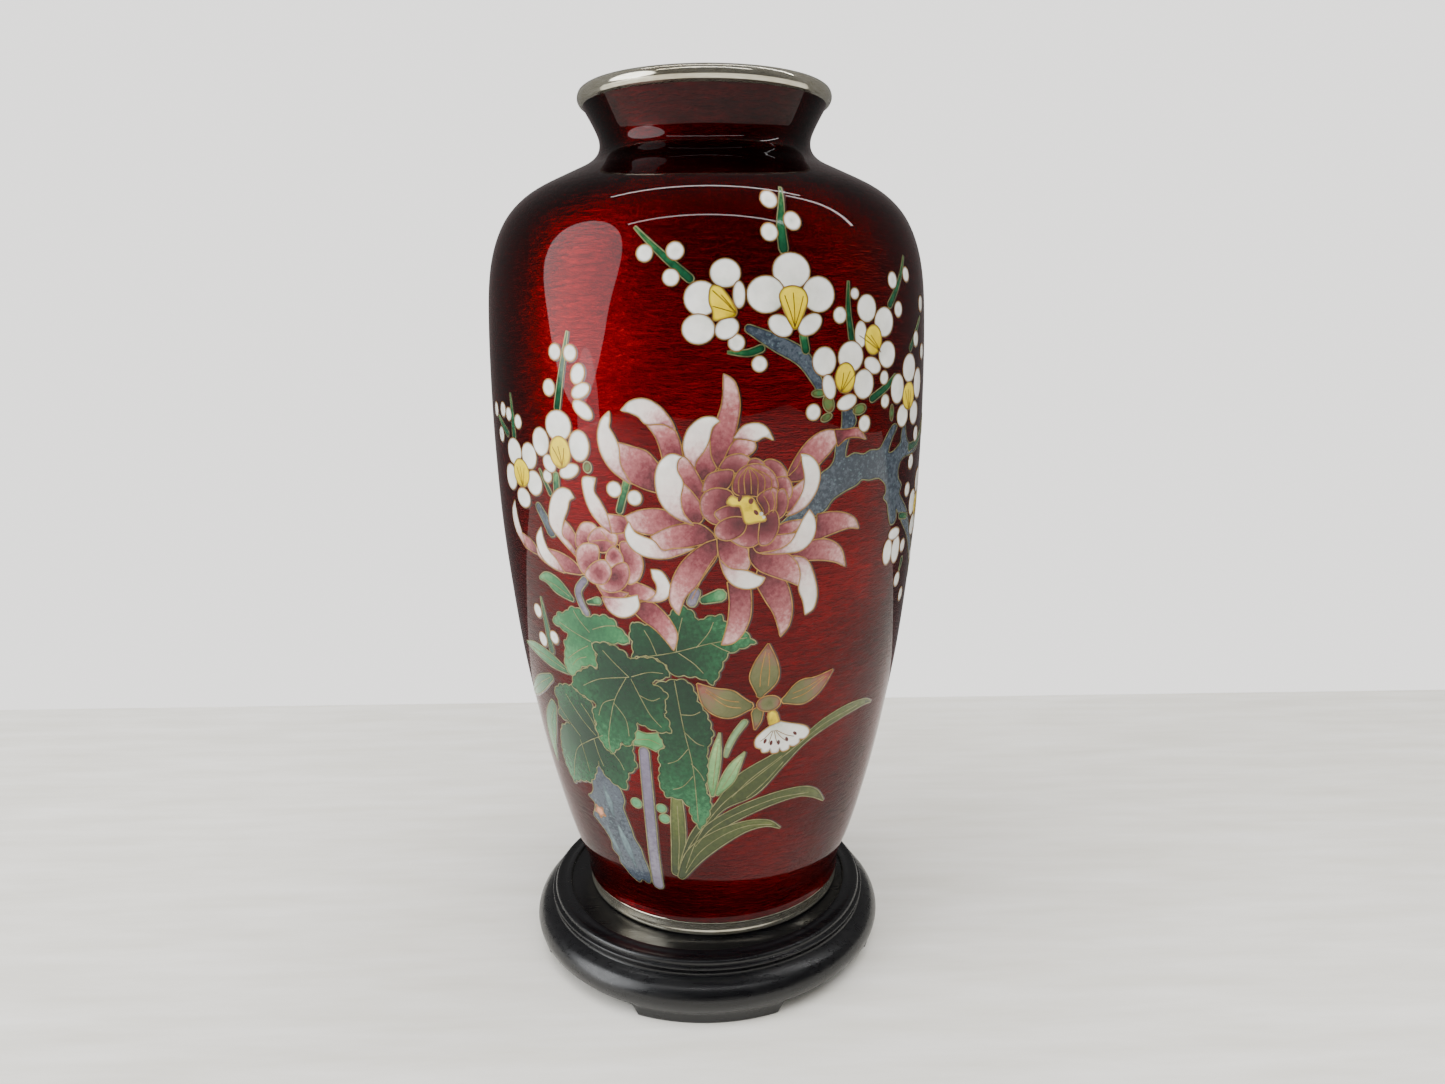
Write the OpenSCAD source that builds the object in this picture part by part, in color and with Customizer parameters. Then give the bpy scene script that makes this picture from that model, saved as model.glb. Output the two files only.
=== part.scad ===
// Cloisonne vase on a turned wooden stand.
// Millimetres, +Z up. The origin lies on the vase's axis, on the surface the stand rests on.
// The front of the painted design faces -Y. Angles of the design turn from the front towards +X.

/* [Vase] */
// Height of the vase from its foot to its lip
vase_h = 240; // [200:1:300]
// Greatest diameter of the body
belly_d = 126.5; // [110:0.5:150]
// Thickness of the glass ground over the metal
enamel_t = 0.9; // [0.6:0.1:1.4]
// Thickness of the silver foil under the glass
foil_t = 0.1; // [0.1:0.05:0.2]
// Thickness of the copper wall
copper_t = 1.0; // [0.8:0.1:1.6]
// Thickness of the glass lining inside the vase
lining_t = 0.5; // [0.4:0.1:0.8]
// How far the cells of the design stand over the ground
cell_t = 0.15; // [0.1:0.05:0.3]
// Thickness of the flat wires between the cells
wire_t = 0.25; // [0.15:0.05:0.35]

/* [Metal mounts] */
// Height of the silver band round the foot
foot_band_h = 4.8; // [3:0.1:8]
// Height of the silver band round the lip
lip_band_h = 4.4; // [3:0.1:6]

/* [Stand] */
// Height of the seat that the vase stands on
seat_h = 16.8; // [12:0.1:30]
// Greatest diameter of the stand
stand_d = 111; // [106:0.5:130]
// Diameter of the recess that holds the foot
recess_d = 88.8; // [88.2:0.1:90]
// Depth of the recess
recess_h = 0.8; // [0.5:0.1:2]
// How far the vase stands to the right of the middle of its stand
vase_off_x = 2.1; // [-2.1:0.1:2.1]
// How far the vase stands behind the middle of its stand
vase_off_y = 3.0; // [-3:0.1:3]
// Height of the openings between the feet
arch_h = 3.2; // [2:0.1:5]

/* [Hidden] */
fine = 96;
foot_z = seat_h;
drawn_h = 240;
drawn_d = 126.5;
scale_h = vase_h / drawn_h;
scale_r = belly_d / drawn_d;
wall_t = enamel_t + foil_t + copper_t;
play = 0.1;
room = 1.2;
margin = 3;
core_r = 20;
mouth_z = vase_h - lip_band_h;
base_t = 0.6;
floor_z = foot_band_h + base_t;
foot_in_r = 36.9 * scale_r;
lip_in_r = 31.6 * scale_r;

// Half-width of the body over its height, bare of the bands: [height, radius].
side_knots = [for (k = [
    [4.8, 40.9], [8, 40.8], [14, 42.6], [20, 44.9], [30, 47.8], [45, 51.5], [60, 54.5], [80, 57.9],
    [100, 60.3], [120, 62.1], [140, 63.0], [158, 63.25], [175, 63.0], [188, 62.2], [197, 60.4],
    [204, 57.4], [209, 53.4], [213, 48.0], [217, 39.8], [220, 33.6], [223, 30.5], [226.5, 29.9],
    [230.5, 31.4], [235.6, 34.2]
]) [k[0] * scale_h, k[1] * scale_r]];

// A smooth open line through points, with the same number of steps between each two.
function between(a, b, c, d, t) =
    0.5 * (2 * b + t * (c - a) + t * t * (2 * a - 5 * b + 4 * c - d)
    + t * t * t * (3 * b - a - 3 * c + d));
function smooth_line(p, steps) = let (n = len(p) - 1) concat(
    [for (i = [0 : n - 1], s = [0 : steps - 1])
        between(p[max(i - 1, 0)], p[i], p[i + 1], p[min(i + 2, n)], s / steps)],
    [p[n]]);

side_line = smooth_line(side_knots, 2);
function radius_at(z) = lookup(z, side_line);

// The same side line, moved inwards by a depth at right angles to the wall.
function wall_dir(i) = let (n = len(side_line) - 1,
    d = side_line[min(i + 1, n)] - side_line[max(i - 1, 0)]) d / norm(d);
function side_at(depth) = [for (i = [0 : len(side_line) - 1]) let (d = wall_dir(i))
    [side_line[i][1] - depth * d[0], side_line[i][0] + depth * d[1]]];
function turned_back(p) = [for (i = [len(p) - 1 : -1 : 0]) p[i]];

// One layer of the wall, between two depths and two heights.
module layer(outer, inner, low, high) {
    intersection() {
        polygon(concat(side_at(outer), turned_back(side_at(inner))));
        translate([0, low]) square([belly_d, high - low]);
    }
}

// ---- The painted design ----
// Its places are [angle, height] on the body, and its sizes are millimetres on the glass.

function degree_mm(z) = radius_at(z) * PI / 180;

// A rounded cell: [angle, height, half width, half height, tilt].
function oval(o) = [for (k = [0 : 13]) let (t = k * 360 / 14,
    x = o[2] * cos(t), y = o[3] * sin(t))
    [(x * cos(o[4]) - y * sin(o[4])) / degree_mm(o[1]) + o[0], x * sin(o[4]) + y * cos(o[4]) + o[1]]];

// A cell that follows a line: points of [angle, height, half width].
function beside(p, i, side) = let (n = len(p) - 1, k = degree_mm(p[i][1]),
    d = p[min(i + 1, n)] - p[max(i - 1, 0)], v = [d[0] * k, d[1]] / norm([d[0] * k, d[1]]))
    [p[i][0] - side * v[1] * p[i][2] / k, p[i][1] + side * v[0] * p[i][2]];
function ribbon(line) = let (p = smooth_line(line, 2), n = len(p) - 1)
    concat([for (i = [0 : n]) beside(p, i, 1)], [for (i = [n : -1 : 0]) beside(p, i, -1)]);

function ovals(list) = [for (o = list) oval(o)];
function ribbons(list) = [for (r = list) ribbon(r)];
function dots(list) = [for (d = list) oval([d[0], d[1], d[2], d[2], 0])];

// An outline moved outwards on the glass by a distance, and by up to twice that at a sharp corner.
function turn(p) = let (n = len(p)) sum([for (i = [0 : n - 1]) let (q = p[(i + 1) % n])
    p[i][0] * q[1] - q[0] * p[i][1]]) > 0 ? 1 : -1;
function sum(v, i = 0) = i < len(v) ? v[i] + sum(v, i + 1) : 0;
function unit(v) = v / norm(v);
function grown(p, by) = let (n = len(p), way = by * turn(p)) [for (i = [0 : n - 1])
    let (k = degree_mm(p[i][1]), a = p[(i + n - 1) % n], b = p[(i + 1) % n],
        u = unit([(p[i][0] - a[0]) * k, p[i][1] - a[1]])
            + unit([(b[0] - p[i][0]) * k, b[1] - p[i][1]]),
        v = way * min(2, 2 / norm(u)) * unit(u))
    [p[i][0] + v[1] / k, p[i][1] - v[0]]];

plum_hearts_at = ovals([
    [3.2, 181.6, 2.9, 3.7, 20], [19, 181.2, 3.5, 3.6, 0], [41.2, 172.6, 3.2, 3.6, 0],
    [32.4, 163.6, 3.1, 3.6, 0], [58, 157.5, 4.0, 3.6, 0], [72, 125.5, 3.9, 3.5, 0],
    [-36.5, 145.6, 3.5, 4.0, 0], [-52.3, 138.6, 4.2, 3.7, 0]
]);
plum_petals_at = ovals([
    [-1.2, 182.8, 4.0, 3.9, 0], [-1.9, 175.8, 3.8, 3.4, 0], [4.0, 188.5, 3.5, 3.2, 0],
    [6.9, 183.6, 1.4, 3.0, 0], [4.2, 175.9, 2.9, 2.3, 30],
    [18.8, 189.0, 4.7, 4.1, 0], [12.8, 183.6, 4.6, 4.2, 0], [25.2, 183.6, 4.4, 4.1, 0],
    [16, 176.4, 3.2, 2.3, -30], [23, 176.6, 3.4, 2.2, 30],
    [39, 180.3, 3.3, 3.3, 0], [45.2, 176.9, 3.9, 3.6, 0], [37, 174, 2.0, 3.2, 0],
    [46.5, 168.8, 3.6, 3.3, 0], [41, 166.3, 3.2, 1.9, -20],
    [34, 168.7, 4.0, 3.7, 0], [26.6, 167.8, 3.3, 3.4, 0], [27.9, 161.6, 1.8, 3.0, 15],
    [38.1, 161.8, 3.5, 3.6, 0], [33, 157.6, 3.1, 1.8, 15],
    [58, 164.8, 4.3, 3.7, 0], [51.5, 159.8, 3.4, 3.8, 0], [64.6, 160.4, 3.5, 4.0, 0],
    [54.6, 152.5, 3.2, 2.9, 0], [62.3, 152.6, 3.4, 3.1, 0],
    [72, 132.4, 4.0, 3.5, 0], [66.2, 127, 3.4, 3.6, 0], [77.8, 127, 3.4, 3.6, 0],
    [69, 120, 3.4, 3.0, 0], [75.6, 120, 3.4, 3.0, 0],
    [51.2, 115.8, 2.3, 3.5, 0], [55.8, 115.6, 2.5, 3.8, 0], [54, 120.4, 3.2, 1.6, 0],
    [-36.7, 152.3, 4.3, 3.8, 0], [-42.9, 147.8, 3.2, 3.6, 0], [-30.7, 147.6, 3.0, 3.8, 0],
    [-40.2, 142.4, 2.5, 2.0, -40], [-34, 141, 3.3, 1.7, 20],
    [-55.2, 144, 4.1, 3.5, 0], [-48, 143.6, 3.4, 3.4, 0], [-58.2, 136.8, 3.5, 3.5, 0],
    [-46.6, 136.6, 3.4, 3.2, 0], [-52.1, 131.9, 3.5, 2.6, 0],
    [-30.2, 165.3, 1.9, 2.5, -25], [-29.6, 161.2, 2.8, 1.6, 25], [-29.2, 156.6, 3.2, 1.7, -35]
]);
plum_buds_at = dots([
    [15.2, 205.5, 2.0], [20.1, 200.5, 2.1], [14.2, 197.8, 2.0], [-13.6, 193.2, 1.9],
    [-6.8, 193.6, 2.0], [-7.7, 187.6, 1.9], [6.2, 172.6, 1.9], [11.2, 167.6, 1.8],
    [35.2, 183.8, 1.3], [30.8, 178.7, 1.9], [49.1, 187.2, 2.0], [56.2, 188.8, 1.8],
    [51.4, 180, 1.9], [45.4, 163, 1.7], [46, 157, 1.7], [67.2, 181.5, 2.0], [62.4, 172.3, 2.0],
    [69, 168.7, 2.0], [64.8, 146.6, 2.0], [61.8, 139.2, 2.0], [60.4, 131.6, 1.9],
    [60.6, 115.7, 1.8], [59.3, 106.1, 2.0], [64.8, 100.2, 1.9], [72.4, 110.5, 1.9],
    [79, 147, 2.0], [82.4, 139, 1.9], [86, 121, 2.0],
    [-36.7, 170.5, 1.9], [-32.2, 170.3, 1.9], [-39, 161.7, 2.0], [-66.9, 154.3, 1.9],
    [-60.8, 154.7, 1.9], [-57, 153.8, 1.7], [-52.1, 152.2, 1.8], [-63.2, 147.8, 2.0],
    [-41.2, 139, 1.6], [-21.9, 137.3, 1.9], [-17, 135.4, 1.8],
    [-52.1, 100, 1.9], [-45.7, 93.7, 1.8], [-51.6, 91.7, 2.0],
    [23.9, 155.7, 1.9], [38.6, 151.9, 2.0]
]);
plum_sepals_at = ovals([
    [27.8, 157.6, 1.5, 2.1, 20], [25.2, 160.2, 1.9, 0.8, 0], [27.3, 154.2, 1.6, 0.8, 20],
    [36.9, 155.6, 2.2, 1.2, 10], [-28.6, 142.4, 1.1, 1.3, 0], [49, 153.8, 0.8, 2.0, 0]
]);
plum_twigs_at = ribbons([
    [[17.2, 194, 1.1], [17.2, 200, 0.9], [19.2, 208.5, 0.2]],
    [[-3.6, 187.3, 0.9], [-9.4, 192.6, 0.7], [-16.2, 199.2, 0.2]],
    [[11.6, 171.2, 0.8], [8.6, 170.2, 0.7], [4.3, 170.4, 0.2]],
    [[34.1, 173.2, 0.8], [33.2, 180, 0.6], [33.4, 186.7, 0.2]],
    [[41, 158, 0.9], [47, 161, 0.8], [50, 163.4, 0.3]],
    [[47.6, 181.2, 0.9], [51.8, 186.5, 0.6], [56, 193.4, 0.2]],
    [[21.9, 170.6, 0.9], [21.3, 174, 0.9]],
    [[-36.6, 156.8, 0.9], [-35, 165, 0.7], [-32.8, 175.4, 0.2]],
    [[-38.4, 134.6, 0.9], [-38.2, 139.4, 0.9]],
    [[-40.6, 134.6, 0.6], [-44, 140.6, 0.2]],
    [[-20.8, 132, 0.8], [-18.6, 139.6, 0.8]],
    [[-54.6, 148.2, 0.9], [-54.8, 153.6, 0.7], [-55.4, 159.4, 0.2]],
    [[-58.6, 148.6, 0.9], [-64.4, 152.4, 0.5]],
    [[-47.9, 89.4, 1.1], [-48.6, 97, 0.9], [-49.4, 104.6, 0.2]],
    [[58.4, 170, 0.8], [66, 177.8, 0.3]], [[60, 143.4, 1.0], [68, 144.6, 0.7], [76, 150, 0.2]],
    [[56.6, 125, 0.8], [61, 124, 0.7]], [[61.4, 111.4, 0.8], [60.4, 108.9, 0.4]]
]);
plum_branches_at = ribbons([
    [[8.9, 175.8, 0.9], [15, 172.4, 1.8], [21, 168.8, 1.9], [24.6, 163.4, 1.3], [25.4, 161.6, 1.1]],
    [[16, 128.4, 1.0], [22, 132.6, 2.6], [30, 138.8, 3.2], [38, 141.4, 3.3], [46, 141, 3.2],
        [52, 137, 3.0], [53.4, 131, 2.2], [54.6, 126.4, 1.0]],
    [[31.4, 142.4, 1.8], [32.2, 149, 1.3], [32.8, 154.4, 0.9]],
    [[45.4, 143.4, 1.4], [49.2, 149.4, 1.1]],
    [[50, 142.6, 2.2], [58, 143.4, 1.6]],
    [[56.4, 129.4, 1.6], [61, 122, 1.9], [66.4, 113, 2.0], [74, 104, 1.6], [84, 98, 0.4]],
    [[-45.6, 130.4, 1.1], [-43, 127, 1.4], [-41.4, 124.6, 1.7]]
]);
plum_trunk_at = [
    [[-36.2, 57.4], [-34.8, 54.6], [-32, 52.4], [-29.4, 50.8], [-28.4, 47], [-29.4, 44.4], [-28.8, 41],
        [-27.8, 37], [-27.4, 34], [-25.6, 30.6], [-25.2, 27.6], [-24.2, 24], [-24, 20], [-25.4, 17.4],
        [-28, 18.4], [-30, 16.8], [-33, 18.6], [-34.6, 20.6], [-36.6, 22.8], [-36.4, 25], [-38.6, 27],
        [-38.2, 30], [-40, 33.4], [-42.6, 36], [-44.2, 37.4], [-42.6, 40], [-41.8, 42.6], [-44.2, 44.2],
        [-42.4, 45.4], [-40.8, 47.4], [-40.2, 51], [-38.4, 54]]
];

mum_large_heart_at = [
    [[3.9, 134.4], [4.9, 136], [6.4, 135.4], [8.6, 135.9], [10, 134.8], [11.2, 132.4], [12.8, 129.8],
        [10.8, 129.3], [8.2, 129.1], [7.4, 131.6], [6.8, 133.4], [5.2, 133.6]]
];
mum_large_ball_at = [
    [[2.2, 143], [4, 145.6], [7.2, 146.2], [9.4, 144.4], [8.6, 142.6], [5.6, 141.8]],
    [[12, 143.6], [13.6, 144.7], [16.2, 143.4], [17.6, 140.4], [15.8, 139.4], [13.4, 141]],
    [[8.6, 143.4], [9.6, 145], [11.6, 144.4], [12.4, 142.6], [10.6, 141.6]],
    [[-1.5, 137.4], [-0.4, 141], [2.4, 142.3], [5.2, 142.2], [5, 139.8], [3.6, 137.8], [0.6, 137.4]],
    [[14.6, 139.8], [17.6, 140], [18.9, 137.2], [18.2, 134.8], [16, 135.6], [14.6, 138]],
    [[5.2, 138.2], [6.2, 141.6], [8.6, 143.5], [11.8, 143.4], [14.6, 141], [15.4, 137.4], [13.4, 135.8],
        [9, 136], [6.2, 136.4]],
    [[10.8, 135.6], [14.6, 137.6], [16, 134.4], [15.4, 131], [12.8, 129.6], [12.2, 132.4]],
    [[14.9, 129.8], [17, 130.8], [17.9, 134], [17, 137], [15.5, 136.4], [15.4, 133]],
    [[-1.9, 134.8], [-1.5, 131.6], [0.6, 129.4], [3, 129.2], [4.4, 131.6], [5.4, 134.8], [4.6, 137.2],
        [1.6, 138], [-0.8, 137]],
    [[1.2, 131.6], [3, 129.6], [6, 129.4], [7.4, 131.6], [6.8, 133.4], [4.6, 133.6], [2.6, 133]],
    [[4.6, 125.4], [8, 123.1], [11, 123.8], [12, 127], [11.4, 129.8], [9.2, 129.6], [7.4, 127.8]],
    [[11.4, 123.7], [13.9, 123.8], [15.6, 126.8], [15.7, 130], [14.6, 132], [12.2, 130.2],
        [11.4, 128.4]],
    [[1.2, 127.6], [2, 125.6], [4.4, 125], [7.2, 126.4], [8.2, 128.6], [7.6, 130.4], [5, 130.7],
        [2.4, 129.6]]
];
mum_large_curls_at = [
    [[-19.4, 156.8], [-17.2, 159], [-14, 159.6], [-10.8, 158], [-8.4, 155], [-7.2, 152.2], [-10, 153.7],
        [-13.6, 153.6], [-15.4, 155.4], [-17.4, 156.3]],
    [[-3.4, 141], [-5, 145], [-5.5, 149], [-4.2, 152.7], [-1.6, 155], [1, 155.3], [2.4, 154.3],
        [0.8, 152.8], [0, 149.6], [-1.2, 147], [-2.8, 144.6]],
    [[5.4, 150.2], [7.6, 153], [10.6, 153.6], [12.8, 152.4], [14.3, 149.4], [12.4, 150.3],
        [10.4, 149.4], [8.4, 149.8]],
    [[-5.9, 145.8], [-8.4, 146.4], [-10.8, 144.4], [-11.9, 141], [-11.6, 136.6], [-10, 133],
        [-7.2, 130.6], [-3.6, 128.9], [-5.8, 131.8], [-6.4, 135.6], [-5.8, 139.4], [-7, 142.4],
        [-6.8, 144.8]],
    [[-22.3, 156.4], [-24.3, 154.4], [-25.4, 150.6], [-24.8, 146.4], [-22.8, 142.8], [-20.4, 140.6],
        [-17.6, 138.8], [-20, 143.4], [-20.3, 147.6], [-21.4, 150.6], [-22.5, 152.6], [-22.3, 154.4]],
    [[-26.6, 139.8], [-30, 139.6], [-29.8, 135], [-28.4, 131.2], [-26, 128.2], [-23.2, 126],
        [-24, 130.4], [-25.6, 133.8], [-27.2, 136.6]],
    [[21, 145.6], [23.2, 145], [25.2, 142.8], [25.9, 139.6], [25, 136], [22.8, 132.8], [20, 131],
        [17.6, 130.4], [20, 133.2], [21.7, 136.6], [22, 140], [21.4, 143]],
    [[23.4, 131.4], [24.9, 129], [25.2, 126], [24, 123], [21.4, 121.1], [17, 120.8], [11.6, 121.2],
        [16, 121.8], [18.8, 123.4], [20.4, 126], [21.8, 129]],
    [[19.4, 119.8], [23, 118.6], [25.2, 114.4], [26.5, 109], [25.8, 105], [23.6, 103.6], [22.8, 107.4],
        [21.5, 110.8], [21.8, 114.6], [21, 117.6]],
    [[2.2, 120], [4.6, 117.6], [8.4, 116.8], [11, 115.5], [12.8, 114.7], [11.4, 112.7], [8.4, 112.1],
        [5.4, 113.3], [3.4, 116]],
    [[-18.6, 129.2], [-19.7, 126.2], [-18.6, 123], [-15.6, 120.8], [-11, 120.2], [-7.4, 121.2],
        [-3.4, 123], [-8, 122.8], [-10.8, 122.3], [-12.8, 124.6], [-15.2, 125.6], [-17.4, 126.8]]
];
mum_large_petals_at = [
    [[-13.6, 153.6], [-9.6, 153.5], [-7.6, 152.6], [-6.2, 149], [-5.8, 145.6], [-10, 143.6],
        [-10.4, 146.6], [-11.6, 150.6]],
    [[2.6, 142.2], [0.6, 145.4], [0.3, 150], [1.8, 154.4], [3.1, 159], [3.4, 165.4], [5.8, 163.4],
        [6.8, 158.6], [6.3, 154], [5.2, 149], [3.6, 144.4]],
    [[3.2, 144.4], [5, 148.6], [7, 150.2], [9.6, 149.6], [10.2, 147.6], [8, 145.6]],
    [[-2.4, 140], [-3.2, 143.6], [-1.6, 147.4], [0.2, 149.8], [0.4, 146], [1.6, 143], [0, 140.6]],
    [[-20.3, 148.9], [-17, 148], [-13.6, 146.8], [-10.8, 143.4], [-11.8, 137], [-15, 138],
        [-19.2, 140.4], [-20.2, 144]],
    [[-24.2, 130.8], [-19.6, 130.4], [-18.4, 128.4], [-20.4, 126.4], [-23.6, 126.2]],
    [[17, 139], [19.2, 144], [22.2, 148.2], [25.6, 150.6], [29, 151], [31.4, 149.6], [29, 146.2],
        [25.6, 142.8], [22, 139.4]],
    [[29.6, 151], [33, 150.8], [36.6, 150.8], [39.3, 147.9], [36, 148.8], [33, 148.6], [30.6, 146.9]],
    [[17, 131.4], [18, 136], [20.4, 138.2], [22, 139.4], [21.6, 135.6], [19.6, 132]],
    [[15, 127.6], [18, 128.8], [21.6, 129], [20.2, 126.6], [17, 125.2], [14, 125]],
    [[24.2, 122.8], [25.4, 127], [25.6, 130], [29.4, 130.2], [33.4, 129.4], [36.6, 127.6],
        [38.2, 124.8], [35, 125.4], [31, 124.8], [27, 123.8]],
    [[17, 120.2], [22, 122.6], [26, 123.4], [29.8, 122.6], [33, 119.8], [34.6, 115], [31.4, 116.8],
        [27, 118], [22, 118.4], [18, 118.6]],
    [[-19.4, 130.6], [-16, 132.2], [-12, 132.8], [-8, 131.8], [-3.4, 129.6], [-7.4, 128.2],
        [-11, 126.6], [-14.6, 126.4], [-17.8, 127.6]],
    [[-7, 145.4], [-7.2, 142], [-5.4, 138.4], [-1.8, 134.6], [-1.2, 138], [-2.8, 142], [-4.6, 145],
        [-5.8, 145.8]],
    [[-5.9, 139.4], [-6.5, 135], [-5.8, 131.4], [-3, 129], [-1.6, 130.4], [-1.8, 133.6], [-3.6, 136.8]],
    [[-13.4, 125.8], [-10.6, 127.5], [-7, 128.9], [-2.6, 129.2], [0.4, 127], [1.4, 125], [-3, 123.8],
        [-7, 122.9], [-10.4, 122.2], [-12.4, 123.6]],
    [[1.6, 125.2], [1.5, 121], [-0.6, 117.4], [-3.4, 113], [-6, 110], [-7.6, 105.4], [-9.5, 108.6],
        [-9.3, 112.6], [-7.8, 117], [-5.2, 120.8], [-1.4, 124]],
    [[1.7, 125.4], [5, 124.8], [8.2, 123], [9.2, 119.4], [8.6, 117.2], [5.4, 117.4], [3, 118.8],
        [2, 121.6]],
    [[4, 114], [4.5, 109], [4.2, 104], [3.4, 100], [2.6, 97.2], [5.2, 97.5], [7.6, 99.8], [9.3, 104],
        [9.6, 108.6], [9.2, 113.4]],
    [[10.4, 113.8], [12.9, 109], [15.2, 105], [16.6, 101], [17.2, 98.4], [19.2, 101], [19.9, 105],
        [19.3, 109.6], [17.6, 114], [14.4, 117.6], [11.4, 118.2]],
    [[9, 123], [12.8, 122.8], [16.4, 121.4], [19.4, 119.6], [21.6, 116.4], [21.8, 111.6], [18.4, 113.4],
        [14.4, 115.2], [11.2, 117], [9.2, 119.8]],
    [[9.8, 123.4], [12.6, 125.8], [16.4, 125.6], [20.4, 125.8], [18.6, 122.8], [14.4, 121.2],
        [11, 121.6]]
];
mum_small_ball_at = [
    [[-33.2, 121.6], [-33, 124.8], [-31, 127.8], [-28, 128], [-26.8, 126], [-29.2, 124.4],
        [-30.4, 121.4]],
    [[-23, 125], [-20, 126.4], [-17.6, 124.8], [-17.8, 123], [-21, 123]],
    [[-29.6, 124], [-27.4, 126.7], [-24.6, 127.1], [-21.8, 125.4], [-22.8, 122.2], [-26, 120.8],
        [-28.4, 122]],
    [[-21, 123.6], [-18, 123.4], [-16.2, 121], [-15.8, 117.6], [-17.2, 114.2], [-19.8, 113.2],
        [-20.6, 118]],
    [[-25, 118], [-24.6, 120.8], [-22.8, 122.4], [-21, 120.8], [-20.8, 118.2], [-23, 117]],
    [[-33.4, 120], [-31, 122.4], [-27.2, 122.2], [-27.4, 118.2], [-29.4, 115], [-31.6, 114.2],
        [-33.2, 116.6]],
    [[-27.8, 111.8], [-25.6, 114.8], [-22.4, 117.8], [-19.8, 118.2], [-19.4, 114.6], [-21.6, 111.3],
        [-25, 110.3]],
    [[-31.4, 114.2], [-28.6, 117.6], [-25.4, 118.6], [-24, 115.8], [-25.8, 112.6], [-29, 112.2]]
];
mum_small_curls_at = [
    [[-33, 134.3], [-34.4, 136.1], [-37, 136.3], [-39.8, 134.2], [-41.5, 130], [-41.5, 126],
        [-38, 122.4], [-34.2, 119.2], [-31.8, 117], [-35, 121.6], [-37.6, 124], [-36.9, 127.6],
        [-35.3, 131], [-34.5, 133.4]],
    [[-45.3, 125], [-47.8, 121.6], [-47, 117.6], [-43.6, 114.8], [-38, 113.6], [-40.6, 116.8],
        [-43.4, 119.2], [-44.8, 122]],
    [[-57.5, 130.4], [-60, 126.6], [-58.6, 121.6], [-53.4, 117.6], [-55.2, 122], [-56.8, 126]],
    [[-13.8, 117.2], [-11.3, 116.7], [-9.5, 113.4], [-9.9, 110.4], [-12, 108.9], [-15.4, 108.6],
        [-13, 110.6], [-12.6, 113], [-13.4, 115]],
    [[-17.5, 110.1], [-17.3, 107], [-19.4, 104.5], [-22.4, 103.7], [-25.5, 105.2], [-27, 108.6],
        [-24, 108.7], [-20.6, 109.1]]
];
mum_small_petals_at = [
    [[-36.2, 127.8], [-34.4, 126], [-32.8, 123], [-32.4, 119], [-35, 121.2], [-37.8, 123.6],
        [-37.2, 126]],
    [[-33, 114], [-37, 113.9], [-42, 114.4], [-47.6, 116.6], [-48.8, 118.8], [-45, 119.2], [-41, 119.2],
        [-37.6, 118.6], [-34.6, 117.2], [-31.6, 114.4]],
    [[-48.2, 117], [-51, 117.4], [-55, 118.6], [-55.6, 121.4], [-51, 120.8], [-48.6, 119.2]],
    [[-21, 114], [-17, 113.3], [-13.4, 111.6], [-13, 109.4], [-16, 108.8], [-20, 110.2], [-22.6, 111.4]],
    [[-28.4, 112], [-24, 110.9], [-19.8, 110.4], [-22, 108.8], [-26.2, 108.2]],
    [[-17, 108.2], [-14, 108.4], [-11, 105.6], [-8.8, 102], [-8.2, 99], [-9.2, 95.5], [-11, 98.2],
        [-13.6, 101.2], [-16.6, 103.4], [-18.8, 105.6]]
];

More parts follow.
